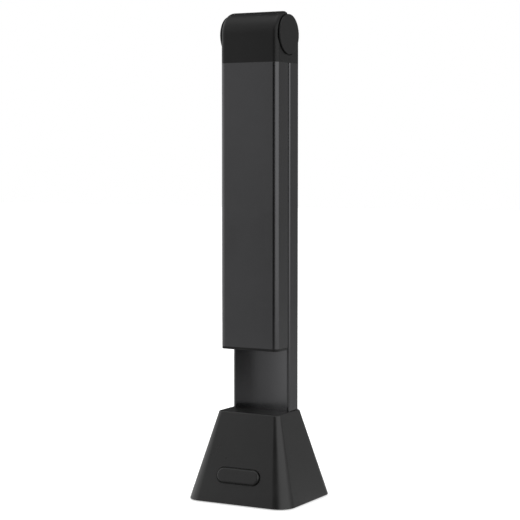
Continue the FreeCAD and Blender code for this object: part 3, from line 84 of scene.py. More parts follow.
# Sizes that no box shows
arm_corner, arm_inner_corner = 4.0 * MM, 2.4 * MM
column_corner, column_inner_corner = 1.7 * MM, 0.5 * MM
back_corner = 0.4 * MM
wall = 1.6 * MM  # of both drawn profiles
sheet_low, sheet_high = panel_low.y + 1.8 * MM, panel_low.y + 3.4 * MM  # the panel's flat part
column_lip, hollow_depth = 2.2 * MM, 3.0 * MM
fine_edge, cut_edge = 0.25 * MM, 0.12 * MM
disc_seat, disc_seat_deep = 0.8 * MM, 0.8 * MM
seam_gap = 0.3 * MM
fit = 0.15 * MM
past = 1.0 * MM  # how far a cutting shape reaches beyond what it cuts
knuckle_half = 13.0 * MM
lug_inner = knuckle_half + seam_gap
tongue, tongue_length = 1.5 * MM, 8.0 * MM
tongue_out = half - wall - fit
screw_hole, screw_head, cable_hole = 1.55 * MM, 2.75 * MM, 3.2 * MM
port_x, port_y = 16.0 * MM, 8.5 * MM


# Nodes: short ways to add and join them
class Wiring:
    """Adds nodes to one node tree and joins them."""

    def __init__(self, tree):
        self.tree = tree

    def add(self, kind, inputs=None, **settings):
        made = self.tree.nodes.new("ShaderNode" + kind)
        for key, value in settings.items():
            setattr(made, key, value)
        for socket, value in (inputs or {}).items():
            self.feed(made, socket, value)
        return made

    def feed(self, made, socket, value):
        if isinstance(value, bpy.types.NodeSocket):
            self.tree.links.new(value, made.inputs[socket])
        else:
            made.inputs[socket].default_value = value

    def math(self, operation, first, second):
        return self.add("Math", {0: first, 1: second}, operation=operation).outputs[0]

    def spread(self, value, low, high, to_low, to_high):
        made = self.add("MapRange", {
            "Value": value, "From Min": low, "From Max": high, "To Min": to_low, "To Max": to_high,
        })
        return made.outputs["Result"]

    def mix(self, share, first, second):
        made = self.add("Mix", data_type="RGBA")
        self.feed(made, 0, share)
        self.feed(made, 6, first)
        self.feed(made, 7, second)
        return made.outputs[2]

    def group(self, tree, inputs):
        made = self.add("Group", node_tree=tree)
        for socket, value in inputs.items():
            self.feed(made, socket, value)
        return made


def new_group(name, inputs, outputs):
    """A shader node group with named sockets, and its two end nodes."""
    tree = bpy.data.node_groups.new(name, "ShaderNodeTree")
    for socket, kind, value in inputs:
        made = tree.interface.new_socket(socket, in_out="INPUT", socket_type=kind)
        if value is not None:
            made.default_value = value
    for socket in outputs:
        tree.interface.new_socket(socket, in_out="OUTPUT", socket_type="NodeSocketFloat")
    wires = Wiring(tree)
    start = tree.nodes.new("NodeGroupInput")
    end = tree.nodes.new("NodeGroupOutput")
    return tree, wires, start.outputs, end


def mould_grain():
    """The fine spark-eroded texture that a mould leaves on plastic."""
    tree, wires, given, end = new_group(
        "mould_grain",
        [("Vector", "NodeSocketVector", None), ("Size", "NodeSocketFloat", 0.3 * MM)],
        ["Height", "Shade"],
    )
    scale = wires.math("DIVIDE", 1.0, given["Size"])
    pits = wires.add("TexVoronoi", {"Vector": given["Vector"], "Scale": scale}, feature="SMOOTH_F1")
    wires.feed(pits, "Smoothness", 0.6)
    grain = wires.add("TexNoise", {"Vector": given["Vector"], "Scale": wires.math("MULTIPLY", scale, 0.7)})
    wires.feed(grain, "Detail", 3.0)
    wires.feed(grain, "Roughness", 0.6)
    height = wires.math("ADD", wires.math("MULTIPLY", pits.outputs["Distance"], 0.6), grain.outputs["Fac"])
    wires.feed(end, "Height", height)
    wires.feed(end, "Shade", wires.spread(grain.outputs["Fac"], 0.3, 0.7, 0.0, 1.0))
    return tree


def drawn_grain():
    """Fine lines along a drawn metal profile, with a matt etched grain over them."""
    tree, wires, given, end = new_group(
        "drawn_grain",
        [("Vector", "NodeSocketVector", None), ("Pitch", "NodeSocketFloat", 0.25 * MM),
         ("Etch", "NodeSocketFloat", 0.15 * MM)],
        ["Height", "Lines"],
    )
    long = wires.add("Mapping", {"Vector": given["Vector"], "Scale": (1.0, 1.0, 0.012)})
    lines = wires.add("TexNoise", {
        "Vector": long.outputs["Vector"], "Scale": wires.math("DIVIDE", 1.0, given["Pitch"]),
        "Detail": 4.0, "Roughness": 0.65,
    })
    etch = wires.add("TexNoise", {
        "Vector": given["Vector"], "Scale": wires.math("DIVIDE", 1.0, given["Etch"]), "Detail": 2.0,
    })
    height = wires.math("ADD", wires.math("MULTIPLY", lines.outputs["Fac"], 0.5), etch.outputs["Fac"])
    wires.feed(end, "Height", height)
    wires.feed(end, "Lines", wires.spread(lines.outputs["Fac"], 0.3, 0.7, 0.0, 1.0))
    return tree


def handling_marks():
    """Soft cloudy marks from hands and cloths, with a few small specks."""
    tree, wires, given, end = new_group(
        "handling_marks",
        [("Vector", "NodeSocketVector", None), ("Size", "NodeSocketFloat", 30 * MM)],
        ["Cloud", "Specks"],
    )
    scale = wires.math("DIVIDE", 1.0, given["Size"])
    cloud = wires.add("TexNoise", {
        "Vector": given["Vector"], "Scale": scale, "Detail": 5.0, "Roughness": 0.55, "Distortion": 0.6,
    })
    dots = wires.add("TexVoronoi", {"Vector": given["Vector"], "Scale": wires.math("MULTIPLY", scale, 9.0)})
    specks = wires.spread(dots.outputs["Distance"], 0.05, 0.11, 1.0, 0.0)
    wires.feed(end, "Cloud", wires.spread(cloud.outputs["Fac"], 0.32, 0.68, 0.0, 1.0))
    wires.feed(end, "Specks", specks)
    return tree


def painted_edge_highlight():
    """A painted highlight along outer edges, in patches: where the rounded normal leaves the flat one."""
    tree, wires, given, end = new_group(
        "painted_edge_highlight",
        [("Vector", "NodeSocketVector", None), ("Reach", "NodeSocketFloat", 0.5 * MM)],
        ["Mask"],
    )
    rounded = wires.add("Bevel", {"Radius": given["Reach"]}, samples=6)
    flat = wires.add("NewGeometry")
    product = wires.add("VectorMath", {0: rounded.outputs["Normal"], 1: flat.outputs["Normal"]},
                        operation="DOT_PRODUCT")
    turned = wires.spread(product.outputs["Value"], 0.997, 0.86, 0.0, 1.0)
    patchy = wires.add("TexNoise", {"Vector": given["Vector"], "Scale": 260.0, "Detail": 4.0})
    spots = wires.spread(patchy.outputs["Fac"], 0.38, 0.62, 0.35, 1.0)
    wires.feed(end, "Mask", wires.math("MULTIPLY", turned, spots))
    return tree


groups = {
    "mould": mould_grain(),
    "drawn": drawn_grain(),
    "marks": handling_marks(),
    "edge_highlight": painted_edge_highlight(),
}


def grey(level, blue=0.0):
    """A colour that is grey, or grey with a little blue."""
    return (level, level, level * (1.0 + blue), 1.0)


def new_material(name):
    """A material with only its shader, and the wiring to add to it."""
    made = bpy.data.materials.new(name)
    made.use_nodes = True
    made.node_tree.nodes.clear()
    wires = Wiring(made.node_tree)
    end = wires.add("OutputMaterial")
    shader = wires.add("BsdfPrincipled")
    wires.feed(end, "Surface", shader.outputs["BSDF"])
    place = wires.add("TexCoord").outputs["Object"]
    return made, wires, shader, place


def plain_finish(name, dark, light, highlight_colour, rough, grain, depth, patch=30, edge_highlight=0.4, specular=0.4,
                 metallic=0.0, edge=0.5):
    """A moulded or cast finish: grain and cloudy marks over two close colours, and a painted highlight in a
    lighter colour along the outer edges.

    The sizes of grain, depth of grain, patches and edges are in millimetres.
    """
    made, wires, shader, place = new_material(name)
    texture = wires.group(groups["mould"], {"Vector": place, "Size": grain * MM})
    marks = wires.group(groups["marks"], {"Vector": place, "Size": patch * MM})
    edge_lit = wires.group(groups["edge_highlight"], {"Vector": place, "Reach": edge * MM})
    cloudy = wires.math("ADD", wires.math("MULTIPLY", marks.outputs["Cloud"], 0.6),
                        wires.math("MULTIPLY", texture.outputs["Shade"], 0.4))
    colour = wires.mix(cloudy, dark, light)
    # Painted highlight: the outer edges take a lighter colour and less roughness.
    highlight_share = wires.math("MULTIPLY", edge_lit.outputs["Mask"], edge_highlight)
    wires.feed(shader, "Base Color", wires.mix(highlight_share, colour, highlight_colour))
    soft = wires.spread(marks.outputs["Cloud"], 0.0, 1.0, rough - 0.05, rough + 0.05)
    speckled = wires.math("ADD", soft, wires.math("MULTIPLY", marks.outputs["Specks"], 0.02))
    polish = wires.math("MULTIPLY", highlight_share, 0.15)
    wires.feed(shader, "Roughness", wires.math("SUBTRACT", speckled, polish))
    bump = wires.add("Bump", {"Height": texture.outputs["Height"], "Distance": depth * MM, "Strength": 0.6})
    wires.feed(shader, "Normal", bump.outputs["Normal"])
    shader.inputs["Metallic"].default_value = metallic
    shader.inputs["Specular IOR Level"].default_value = specular
    return made


def black_moulding():
    return plain_finish("black_moulding", grey(0.0055), grey(0.0078), grey(0.022), 0.40,
                        grain=0.28, depth=0.02, edge_highlight=0.5, specular=0.15)


def anodised_grey():
    """Satin dark-grey anodised aluminium with a faint drawn line."""
    made, wires, shader, place = new_material("anodised_grey")
    drawn = wires.group(groups["drawn"], {"Vector": place, "Pitch": 0.3 * MM, "Etch": 0.16 * MM})
    marks = wires.group(groups["marks"], {"Vector": place, "Size": 45 * MM})
    edge_lit = wires.group(groups["edge_highlight"], {"Vector": place, "Reach": 0.3 * MM})
    tone = wires.math("ADD", wires.math("MULTIPLY", marks.outputs["Cloud"], 0.55),
                      wires.math("MULTIPLY", drawn.outputs["Lines"], 0.45))
    colour = wires.mix(tone, grey(0.047, 0.03), grey(0.057, 0.03))
    # Painted highlight: the outer edges take a lighter grey.
    highlight_share = wires.math("MULTIPLY", edge_lit.outputs["Mask"], 0.35)
    wires.feed(shader, "Base Color", wires.mix(highlight_share, colour, grey(0.10, 0.02)))
    soft = wires.spread(marks.outputs["Cloud"], 0.0, 1.0, 0.19, 0.22)
    wires.feed(shader, "Roughness", wires.math(
        "ADD", soft, wires.math("MULTIPLY", drawn.outputs["Lines"], 0.04)))
    bump = wires.add("Bump", {"Height": drawn.outputs["Height"], "Distance": 0.005 * MM, "Strength": 0.5})
    wires.feed(shader, "Normal", bump.outputs["Normal"])
    shader.inputs["Metallic"].default_value = 0.9
    shader.inputs["Specular Tint"].default_value = grey(0.95)
    shader.inputs["Specular IOR Level"].default_value = 0.25
    return made


def soft_rubber():
    return plain_finish("soft_rubber", grey(0.011), grey(0.018), grey(0.03), 0.82, grain=0.5, depth=0.04,
                        patch=8, specular=0.2)


def zinc_steel():
    return plain_finish("zinc_steel", grey(0.42, 0.04), grey(0.52, 0.04), grey(0.66), 0.34, grain=0.9,
                        depth=0.01, patch=12, metallic=1.0, edge_highlight=0.6)


def dark_screw_steel():
    return plain_finish("dark_screw_steel", grey(0.10, 0.05), grey(0.15, 0.05), grey(0.34), 0.36, grain=0.4,
                        depth=0.006, patch=5, metallic=1.0, edge_highlight=0.8, edge=0.2)


def bearing_bronze():
    return plain_finish("bearing_bronze", (0.42, 0.25, 0.11, 1.0), (0.52, 0.33, 0.16, 1.0),
                        (0.66, 0.46, 0.24, 1.0), 0.32, grain=0.6, depth=0.01, patch=7, metallic=1.0)


def grey_moulding():
    return plain_finish("grey_moulding", grey(0.15), grey(0.19), grey(0.26), 0.42, grain=0.22, depth=0.015,
                        patch=10)


def green_board():
    """Circuit board lacquer, with copper runs that show through it."""
    made, wires, shader, place = new_material("green_board")
    runs = wires.add("TexBrick", {
        "Vector": place, "Scale": 160.0, "Mortar Size": 0.09, "Mortar Smooth": 0.2,
        "Color1": (1.0, 1.0, 1.0, 1.0), "Color2": (0.7, 0.7, 0.7, 1.0), "Mortar": (0.0, 0.0, 0.0, 1.0),
    })
    marks = wires.group(groups["marks"], {"Vector": place, "Size": 9 * MM})
    lacquer = wires.mix(marks.outputs["Cloud"], (0.010, 0.085, 0.035, 1.0), (0.014, 0.12, 0.05, 1.0))
    wires.feed(shader, "Base Color", wires.mix(runs.outputs["Fac"], lacquer, (0.05, 0.2, 0.07, 1.0)))
    wires.feed(shader, "Roughness", wires.spread(marks.outputs["Cloud"], 0.0, 1.0, 0.25, 0.36))
    bump = wires.add("Bump", {"Height": runs.outputs["Fac"], "Distance": 0.03 * MM, "Strength": 0.7})
    wires.feed(shader, "Normal", bump.outputs["Normal"])
    return made


def chip_resin():
    return plain_finish("chip_resin", grey(0.012), grey(0.02), grey(0.04), 0.55, grain=0.2, depth=0.01,
                        patch=4)


def diode_resin():
    return plain_finish("diode_resin", (0.72, 0.62, 0.22, 1.0), (0.8, 0.7, 0.3, 1.0), (0.9, 0.86, 0.6, 1.0),
                        0.3, grain=0.15, depth=0.005, patch=2)


def milky_sheet():
    """The diffuser: milky plastic that lets some light through, with fine prisms."""
    made, wires, shader, place = new_material("milky_sheet")
    prisms = wires.add("TexWave", {"Vector": place, "Scale": 420.0, "Distortion": 0.0}, bands_direction="Z")
    marks = wires.group(groups["marks"], {"Vector": place, "Size": 14 * MM})
    wires.feed(shader, "Base Color", wires.mix(marks.outputs["Cloud"], grey(0.74), grey(0.82)))
    wires.feed(shader, "Roughness", wires.spread(marks.outputs["Cloud"], 0.0, 1.0, 0.30, 0.42))
    bump = wires.add("Bump", {"Height": prisms.outputs["Fac"], "Distance": 0.02 * MM, "Strength": 0.5})
    wires.feed(shader, "Normal", bump.outputs["Normal"])
    shader.inputs["Subsurface Weight"].default_value = 0.25
    shader.inputs["Subsurface Scale"].default_value = 0.002
    return made


def coated_lens():
    """Coated lens glass, with a purple-green bloom towards the rim."""
    made, wires, shader, place = new_material("coated_lens")
    marks = wires.group(groups["marks"], {"Vector": place, "Size": 4 * MM})
    wires.feed(shader, "Base Color", wires.mix(marks.outputs["Cloud"], (0.10, 0.12, 0.22, 1.0),
                                               (0.16, 0.12, 0.26, 1.0)))
    wires.feed(shader, "Roughness", wires.spread(marks.outputs["Cloud"], 0.0, 1.0, 0.02, 0.05))
    shader.inputs["Transmission Weight"].default_value = 0.6
    shader.inputs["Coat Weight"].default_value = 1.0
    shader.inputs["Coat Roughness"].default_value = 0.02
    shader.inputs["Coat Tint"].default_value = (0.7, 0.75, 1.0, 1.0)
    return made


def window_pane():
    """The clear pane in front of the lens."""
    made, wires, shader, place = new_material("window_pane")
    marks = wires.group(groups["marks"], {"Vector": place, "Size": 6 * MM})
    wires.feed(shader, "Base Color", wires.mix(marks.outputs["Cloud"], grey(0.78, 0.02), grey(0.84, 0.02)))
    wires.feed(shader, "Roughness", wires.spread(marks.outputs["Cloud"], 0.0, 1.0, 0.01, 0.035))
    shader.inputs["Transmission Weight"].default_value = 1.0
    shader.inputs["IOR"].default_value = 1.5
    return made


def amber_cable():
    """Polyimide flat cable with its copper lines."""
    made, wires, shader, place = new_material("amber_cable")
    copper = wires.add("TexWave", {"Vector": place, "Scale": 320.0, "Distortion": 0.0}, bands_direction="X")
    marks = wires.group(groups["marks"], {"Vector": place, "Size": 6 * MM})
    film = wires.mix(marks.outputs["Cloud"], (0.42, 0.17, 0.02, 1.0), (0.52, 0.24, 0.03, 1.0))
    wires.feed(shader, "Base Color", wires.mix(copper.outputs["Fac"], film, (0.30, 0.11, 0.02, 1.0)))
    wires.feed(shader, "Roughness", wires.spread(marks.outputs["Cloud"], 0.0, 1.0, 0.22, 0.34))
    bump = wires.add("Bump", {"Height": copper.outputs["Fac"], "Distance": 0.02 * MM, "Strength": 0.5})
    wires.feed(shader, "Normal", bump.outputs["Normal"])
    return made


def wire_sleeve():
    return plain_finish("wire_sleeve", grey(0.012), grey(0.02), grey(0.04), 0.5, grain=0.3, depth=0.02,
                        patch=5)


# A lighter and glossier copy of the black moulding, for the base and its badge, which are the same black plastic:
# the extra brightness is painted light.
lit_black_moulding = plain_finish("black_moulding_lit", grey(0.0078), grey(0.0102), grey(0.026), 0.32, grain=0.3,
                            depth=0.02, edge_highlight=0.5, specular=0.26)

finishes = {
    "black_plastic": black_moulding(),
    "grey_metal": anodised_grey(),
    "rubber": soft_rubber(),
    "steel": zinc_steel(),
    "screw_steel": dark_screw_steel(),
    "bronze": bearing_bronze(),
    "grey_plastic": grey_moulding(),
    "circuit_board": green_board(),
    "chip": chip_resin(),
    "diode": diode_resin(),
    "milky_plastic": milky_sheet(),
    "lens_glass": coated_lens(),
    "window_glass": window_pane(),
    "flat_cable": amber_cable(),
    "wire_jacket": wire_sleeve(),
}


def dress_cad_nodes():
    """Every node that stays gets the finish of its slot."""
    for row in frame["record"]["subparts"]:
        node = frame["nodes"][row["node"]]
        node.data.materials.clear()
        node.data.materials.append(finishes[row["material_slot"]])


def new_object(name, data):
    made = bpy.data.objects.new(name, data)
    bpy.context.scene.collection.objects.link(made)
    return made


def mesh_from(bm, name):
    """A mesh with the modelled shape, which is let go."""
    mesh = bpy.data.meshes.new(name)
    bm.to_mesh(mesh)
    bm.free()
    return mesh


# Shapes: a few points, swept and extruded by bmesh operators
X, Y, Z = Vector((1, 0, 0)), Vector((0, 1, 0)), Vector((0, 0, 1))


def point(bm, x, y, z):
    return bm.verts.new((x, y, z))


def flat_face(bm, places, z):
    """A level face with its corners at some places, and its corner points."""
    corners = [point(bm, x, y, z) for x, y in places]
    bm.faces.new(corners)
    return corners


def rectangle(x, y):
    """The corner places of a rectangle between two limits along each axis."""
    return (x[0], y[0]), (x[1], y[0]), (x[1], y[1]), (x[0], y[1])


def both_sides(x, y):
    """A place and its mirror on the left."""
    return (-x, y), (x, y)


def both_ways(low, high):
    """A span on the right of the middle, and its mirror on the left."""
    return (low, high), (-high, -low)


def points_at(bm, places):
    """The points that stand at any of some places, seen from above."""
    return [v for v in bm.verts
            if any(abs(v.co.x - x) < NEAR and abs(v.co.y - y) < NEAR for x, y in places)]


def flat_edges(bm, *levels, axis=2):
    """The edges that lie flat at any of some levels."""
    return [e for e in bm.edges
            if any(all(abs(v.co[axis] - level) < NEAR for v in e.verts) for level in levels)]


def sweep(bm, start, middle, axis, angle, steps):
    """Spins one new point around an axis and gives the arc's points in order."""
    chain = [bm.verts.new(start)]
    bmesh.ops.spin(bm, geom=chain[:1], cent=middle, axis=axis, angle=math.radians(angle), steps=steps)
    while len(chain) <= steps:
        chain += [v for e in chain[-1].link_edges for v in [e.other_vert(chain[-1])] if v not in chain]
    return chain


def round_points(bm, points, radius, steps=12):
    """Rounds chosen corners of a flat outline."""
    bmesh.ops.bevel(bm, geom=points, offset=radius, offset_type="OFFSET", segments=steps, profile=0.5,
                    affect="VERTICES", material=-1)


def round_edges(bm, edges, radius, steps=4):
    """Rounds chosen edges of a solid."""
    return bmesh.ops.bevel(bm, geom=edges, offset=radius, offset_type="OFFSET", segments=steps, profile=0.5,
                           affect="EDGES", material=-1, loop_slide=True)


def lift(bm, faces, step):
    """Extrudes faces by a step and gives the moved faces."""
    moved = bmesh.ops.extrude_face_region(bm, geom=faces)["geom"]
    bmesh.ops.translate(bm, verts=[g for g in moved if isinstance(g, bmesh.types.BMVert)], vec=step)
    return [g for g in moved if isinstance(g, bmesh.types.BMFace)]


def draw_out(bm, edges, step):
    """Extrudes open edges by a step and gives the new edges."""
    moved = bmesh.ops.extrude_edge_only(bm, edges=edges)["geom"]
    bmesh.ops.translate(bm, verts=[g for g in moved if isinstance(g, bmesh.types.BMVert)], vec=step)
    return [g for g in moved if isinstance(g, bmesh.types.BMEdge)]


def points_of(edges):
    return list({v for e in edges for v in e.verts})


def fill(bm, *loops):
    """Closes a flat opening between loops of edges."""
    edges = [e for loop in loops for e in loop]
    return bmesh.ops.triangle_fill(bm, use_beauty=True, use_dissolve=False, edges=edges)


def outline_only(bm, before):
    """The edges made since a list of them was kept, without the faces between them."""
    edges = [e for e in bm.edges if e not in before]
    faces = [f for f in bm.faces if not set(f.edges) & before]
    bmesh.ops.delete(bm, geom=faces, context="FACES_ONLY")
    return edges


def outline_box(bm, x, y, z, radius, steps):
    """The edges of a rounded rectangle, flat at one height, and no face."""
    before = set(bm.edges)
    corners = flat_face(bm, rectangle(x, y), z)
    if radius > 0.0:
        round_points(bm, corners, radius, steps)
    return outline_only(bm, before)


def stack(bm, loops):
    """Joins loops of edges one after the other and closes both ends."""
    for first, second in zip(loops, loops[1:]):
        bmesh.ops.bridge_loops(bm, edges=first + second)
    for end in (loops[0], loops[-1]):
        bmesh.ops.edgeloop_fill(bm, edges=end)
    return bm


def solid_box(x, y, z):
    """A closed box between two limits along each axis."""
    bm = bmesh.new()
    flat_face(bm, rectangle(x, y), z[0])
    lift(bm, list(bm.faces), Z * (z[1] - z[0]))
    return bm


def rod_at(place, radius, length, steps):
    """A closed rod along its place's own third axis."""
    bm = bmesh.new()
    bmesh.ops.create_cone(bm, cap_ends=True, segments=steps, radius1=radius, radius2=radius,
                          depth=length, matrix=place)
    return bm


def hinge_rod(radius, low, high, steps=96):
    """A closed rod on the hinge's axis, between two limits along X."""
    place = Matrix.Translation(((low + high) / 2, 0, axis_z)) @ Matrix.Rotation(math.pi / 2, 4, "Y")
    return rod_at(place, radius, high - low, steps)


def upright_rod(radius, low, high, middle, steps):
    """A closed rod between two limits along Z."""
    return rod_at(Matrix.Translation((*middle, (low + high) / 2)), radius, high - low, steps)


def as_object(bm, name):
    """A shape as an object for the time that it is worked on."""
    bmesh.ops.recalc_face_normals(bm, faces=bm.faces)
    return new_object(name, mesh_from(bm, name))


def on_straight(vert):
    """Whether a point only divides a straight edge, where no other edge meets it."""
    if len(vert.link_edges) != 2:
        return False
    first, second = (e.other_vert(vert).co - vert.co for e in vert.link_edges)
    return first.angle(second, 0.0) > math.pi - 0.002


def combine(bm, shapes, how="DIFFERENCE"):
    """Cuts shapes from a shape, or joins them to it with UNION, and gives the new shape."""
    body = as_object(bm, "worked_shape")
    tools = [as_object(shape, "tool_shape") for shape in shapes]
    for tool in tools:
        step = body.modifiers.new("step", "BOOLEAN")
        step.object, step.operation, step.solver = tool, how, "EXACT"
    result = bmesh.new()
    result.from_object(body, bpy.context.evaluated_depsgraph_get())
    for made in [body] + tools:
        mesh = made.data
        bpy.data.objects.remove(made)
        bpy.data.meshes.remove(mesh)
    bmesh.ops.remove_doubles(result, verts=result.verts, dist=NEAR)
    bmesh.ops.dissolve_degenerate(result, edges=result.edges, dist=NEAR / 2)
    bmesh.ops.dissolve_verts(result, verts=[v for v in result.verts if on_straight(v)])
    return result


def finish_piece(bm, name, body, slot, stands_for, surface=None):
    """Turns a modelled shape into a piece: smooth, with creases, riding on its body."""
    bmesh.ops.recalc_face_normals(bm, faces=bm.faces)
    mesh = mesh_from(bm, name)
    mesh.shade_smooth()
    mesh.set_sharp_from_angle(angle=CREASE)
    mesh.materials.append(surface or finishes[slot])
    made = new_object(name, mesh)
    even = made.modifiers.new("even_normals", "WEIGHTED_NORMAL")
    even.keep_sharp = True
    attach(made, body)
    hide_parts(*stands_for)


# Arm
ledge_deep = 1.1 * MM
ledge_back = sheet_low - 0.05 * MM
ledge_front = ledge_back - ledge_deep


def arm_section(bm, z):
    """The outside of the arm at one height: large front corners and nearly sharp back ones."""
    corners = flat_face(bm, rectangle((-half, half), (arm_low.y, arm_high.y)), z)
    round_points(bm, corners[:2], arm_corner)
    round_points(bm, points_at(bm, both_sides(half, arm_high.y)), back_corner, 3)
    return list(bm.faces)


def arm_profile():
    """The drawn metal profile of the arm: a channel with screw rails, ledges and lips."""
    reach, lip_deep = 1.2 * MM, 0.8 * MM
    rail_x, rail_half = 10.0 * MM, 2.5 * MM
    room, back, front = half - wall, arm_high.y, arm_low.y + wall
    bm = bmesh.new()
    outer = [(-half, back), (-half, arm_low.y), (half, arm_low.y), (half, back)]
    inner = [
        (room - reach, back), (room - reach, back - lip_deep), (room, back - lip_deep),
        (room, ledge_back), (room - reach, ledge_back), (room - reach, ledge_front),
        (room, ledge_front), (room, front), (rail_x + rail_half, front),
        (rail_x + rail_half, ears_low.y), (rail_x - rail_half, ears_low.y), (rail_x - rail_half, front),
    ]
    inner += [(-x, y) for x, y in reversed(inner)]
    corners = flat_face(bm, outer + inner, arm_low.z)
    round_points(bm, corners[1:3], arm_corner)
    round_points(bm, points_at(bm, [outer[0], outer[3], inner[0], inner[-1]]), fine_edge, 3)
    round_points(bm, points_at(bm, [inner[7], inner[-8]]), arm_inner_corner, 8)
    lift(bm, list(bm.faces), Z * (arm_high.z - arm_low.z))
    round_edges(bm, flat_edges(bm, arm_low.z, arm_high.z), cut_edge, 2)
    finish_piece(bm, "arm_profile", "arm", "grey_metal", ["arm_shell"])


def arm_tip():
    """The black plate that closes the tip of the arm, with its plug in the profile."""
    bm = bmesh.new()
    lift(bm, arm_section(bm, tip_low.z), Z * (arm_low.z - tip_low.z))
    round_edges(bm, flat_edges(bm, tip_low.z), 0.5 * MM)
    plug = solid_box((-tongue_out, tongue_out), (ears_low.y + fit, ledge_front - fit),
                     (arm_low.z - fine_edge, tip_high.z))
    finish_piece(combine(bm, [plug], "UNION"), "arm_tip", "arm", "black_plastic", ["arm_end_cap"])


def hood_outline(bm, x):
    """The side of the hood: its front and quarter-round top, from the seam to the back."""
    top = math.sqrt(hood_radius ** 2 - arm_high.y ** 2)
    turn = math.degrees(math.atan2(top, -arm_high.y))
    curve = sweep(bm, (x, -hood_radius, axis_z), (x, 0, axis_z), (-1, 0, 0), turn, 40)
    return [point(bm, x, arm_high.y, seam_z), point(bm, x, arm_low.y, seam_z)] + curve


def disc_seats():
    """What is cut from both halves of the head for the covers on its sides."""
    return [hinge_rod(disc_radius + disc_seat, *span, steps=160)
            for span in both_ways(half - disc_seat_deep, half + past)]


def arm_hood():
    """The moving half of the head: a hood around the knuckle, and a round lug on each side."""
    shell = 2.6 * MM
    inner = knuckle_radius + seam_gap
    ear_radius, ear_x = ears_high.z - axis_z, ears_high.x
    leg_back = -3.0 * MM
    pocket = springs_high.z - axis_z + 2 * fit
    sunk = 0.05 * MM
    wire_out = half - 1.3 * MM
    bm = bmesh.new()
    lift(bm, [bm.faces.new(hood_outline(bm, -half))], X * 2 * half)

    def on_rim(edge):
        """Whether an edge runs along a side of the front and the top."""
        first, second = (v.co for v in edge.verts)
        return (first.x * second.x > 0 and max(first.z, second.z) > seam_z + NEAR
                and min(first.y, second.y) < arm_high.y - NEAR)
    round_edges(bm, [e for e in bm.edges if on_rim(e)], arm_corner, 10)
    round_edges(bm, flat_edges(bm, seam_z), cut_edge, 2)
    lugs = [hinge_rod(lug_radius, *span, steps=128) for span in both_ways(lug_inner, half - sunk)]
    tongues = [solid_box(span, (ears_low.y, leg_back - tongue), (seam_z - tongue_length, seam_z + 2 * tongue))
               for span in both_ways(tongue_out - tongue, tongue_out)]
    rooms = [
        hinge_rod(inner, -lug_inner, lug_inner, steps=160),
        solid_box((shell - half, half - shell), (arm_low.y + shell, arm_high.y - shell),
                  (seam_z - past, axis_z - inner - wall)),
        solid_box((ear_x - fit, wire_out), (-ear_radius, leg_back + fit), (seam_z + fit, axis_z + leg_back)),
    ]
    for span in both_ways(lug_inner - past, ear_x + fit):
        rooms.append(hinge_rod(ear_radius + fit, *span))
        rooms.append(solid_box(span, (ears_low.y - fit, leg_back + fit), (seam_z - past, axis_z)))
    rooms += [hinge_rod(pocket, *span) for span in both_ways(ear_x, half + past)]
    rooms += disc_seats()
    bm = combine(combine(combine(bm, lugs, "UNION"), rooms), tongues, "UNION")
    finish_piece(bm, "arm_hood", "arm", "black_plastic", ["arm_head"])


def side_disc(name, side):
    """A round cover over the end of the hinge, with the ring that holds it in the lug."""
    start = half + 0.2 * MM
    ring_length, ring_wall = 1.3 * MM, 0.9 * MM
    plug = springs_high.z - axis_z + fit

    def span(low, high):
        """A span measured outwards, on this cover's side."""
        return both_ways(low, high)[0 if side > 0 else 1]
    bm = hinge_rod(disc_radius, *span(start, disc_high.x), steps=160)
    round_edges(bm, flat_edges(bm, side * disc_high.x, axis=0), 0.4 * MM, 5)
    bm = combine(bm, [hinge_rod(plug, *span(start - ring_length, start + ring_wall / 2))], "UNION")
    bm = combine(bm, [hinge_rod(plug - ring_wall, *span(start - ring_length - past, start))])
    finish_piece(bm, name, "arm", "black_plastic", [f"hinge_cover_{'right' if side > 0 else 'left'}"])


# Column
def column_outline(bm, z, grow, corner):
    """The edges of the column's section with its hollow front, grown all round, and no face."""
    x, front, back = half + grow, column_low.y - grow, column_high.y + grow
    bow = half - column_lip
    radius = (bow * bow + hollow_depth * hollow_depth) / (2 * hollow_depth)
    turn = 2 * math.degrees(math.asin(bow / radius))
    before = set(bm.edges)
    ring = sweep(bm, (bow, front, z), (0, front - radius + hollow_depth, z), Z, turn, 48)
    corners = [point(bm, px, py, z) for px, py in ((-x, front), (-x, back), (x, back), (x, front))]
    bm.faces.new(ring + corners)
    round_points(bm, corners, corner, 8)
    return outline_only(bm, before)


def column_profile():
    """The drawn metal column: a tube with a hollow front, and two screw ports inside."""
    port_radius, web = 3.2 * MM, 1.0 * MM
    web_back = column_high.y - wall / 2
    low, high = column_low.z, seam_z
    bm = bmesh.new()
    outer = column_outline(bm, low, 0.0, column_corner)
    inner = column_outline(bm, low, -wall, column_inner_corner)
    tube = fill(bm, outer, inner)["geom"]
    lift(bm, [g for g in tube if isinstance(g, bmesh.types.BMFace)], Z * (high - low))
    ports, bores = [], []
    for x, y in both_sides(port_x, port_y):
        ports.append(upright_rod(port_radius, low, high, (x, y), 48))
        ports.append(solid_box((x - web, x + web), (y, web_back), (low, high)))
        bores.append(upright_rod(screw_hole, low - past, high + past, (x, y), 32))
    bm = combine(combine(bm, ports, "UNION"), bores)
    finish_piece(bm, "column_profile", "stand", "grey_metal", ["column_tube"])


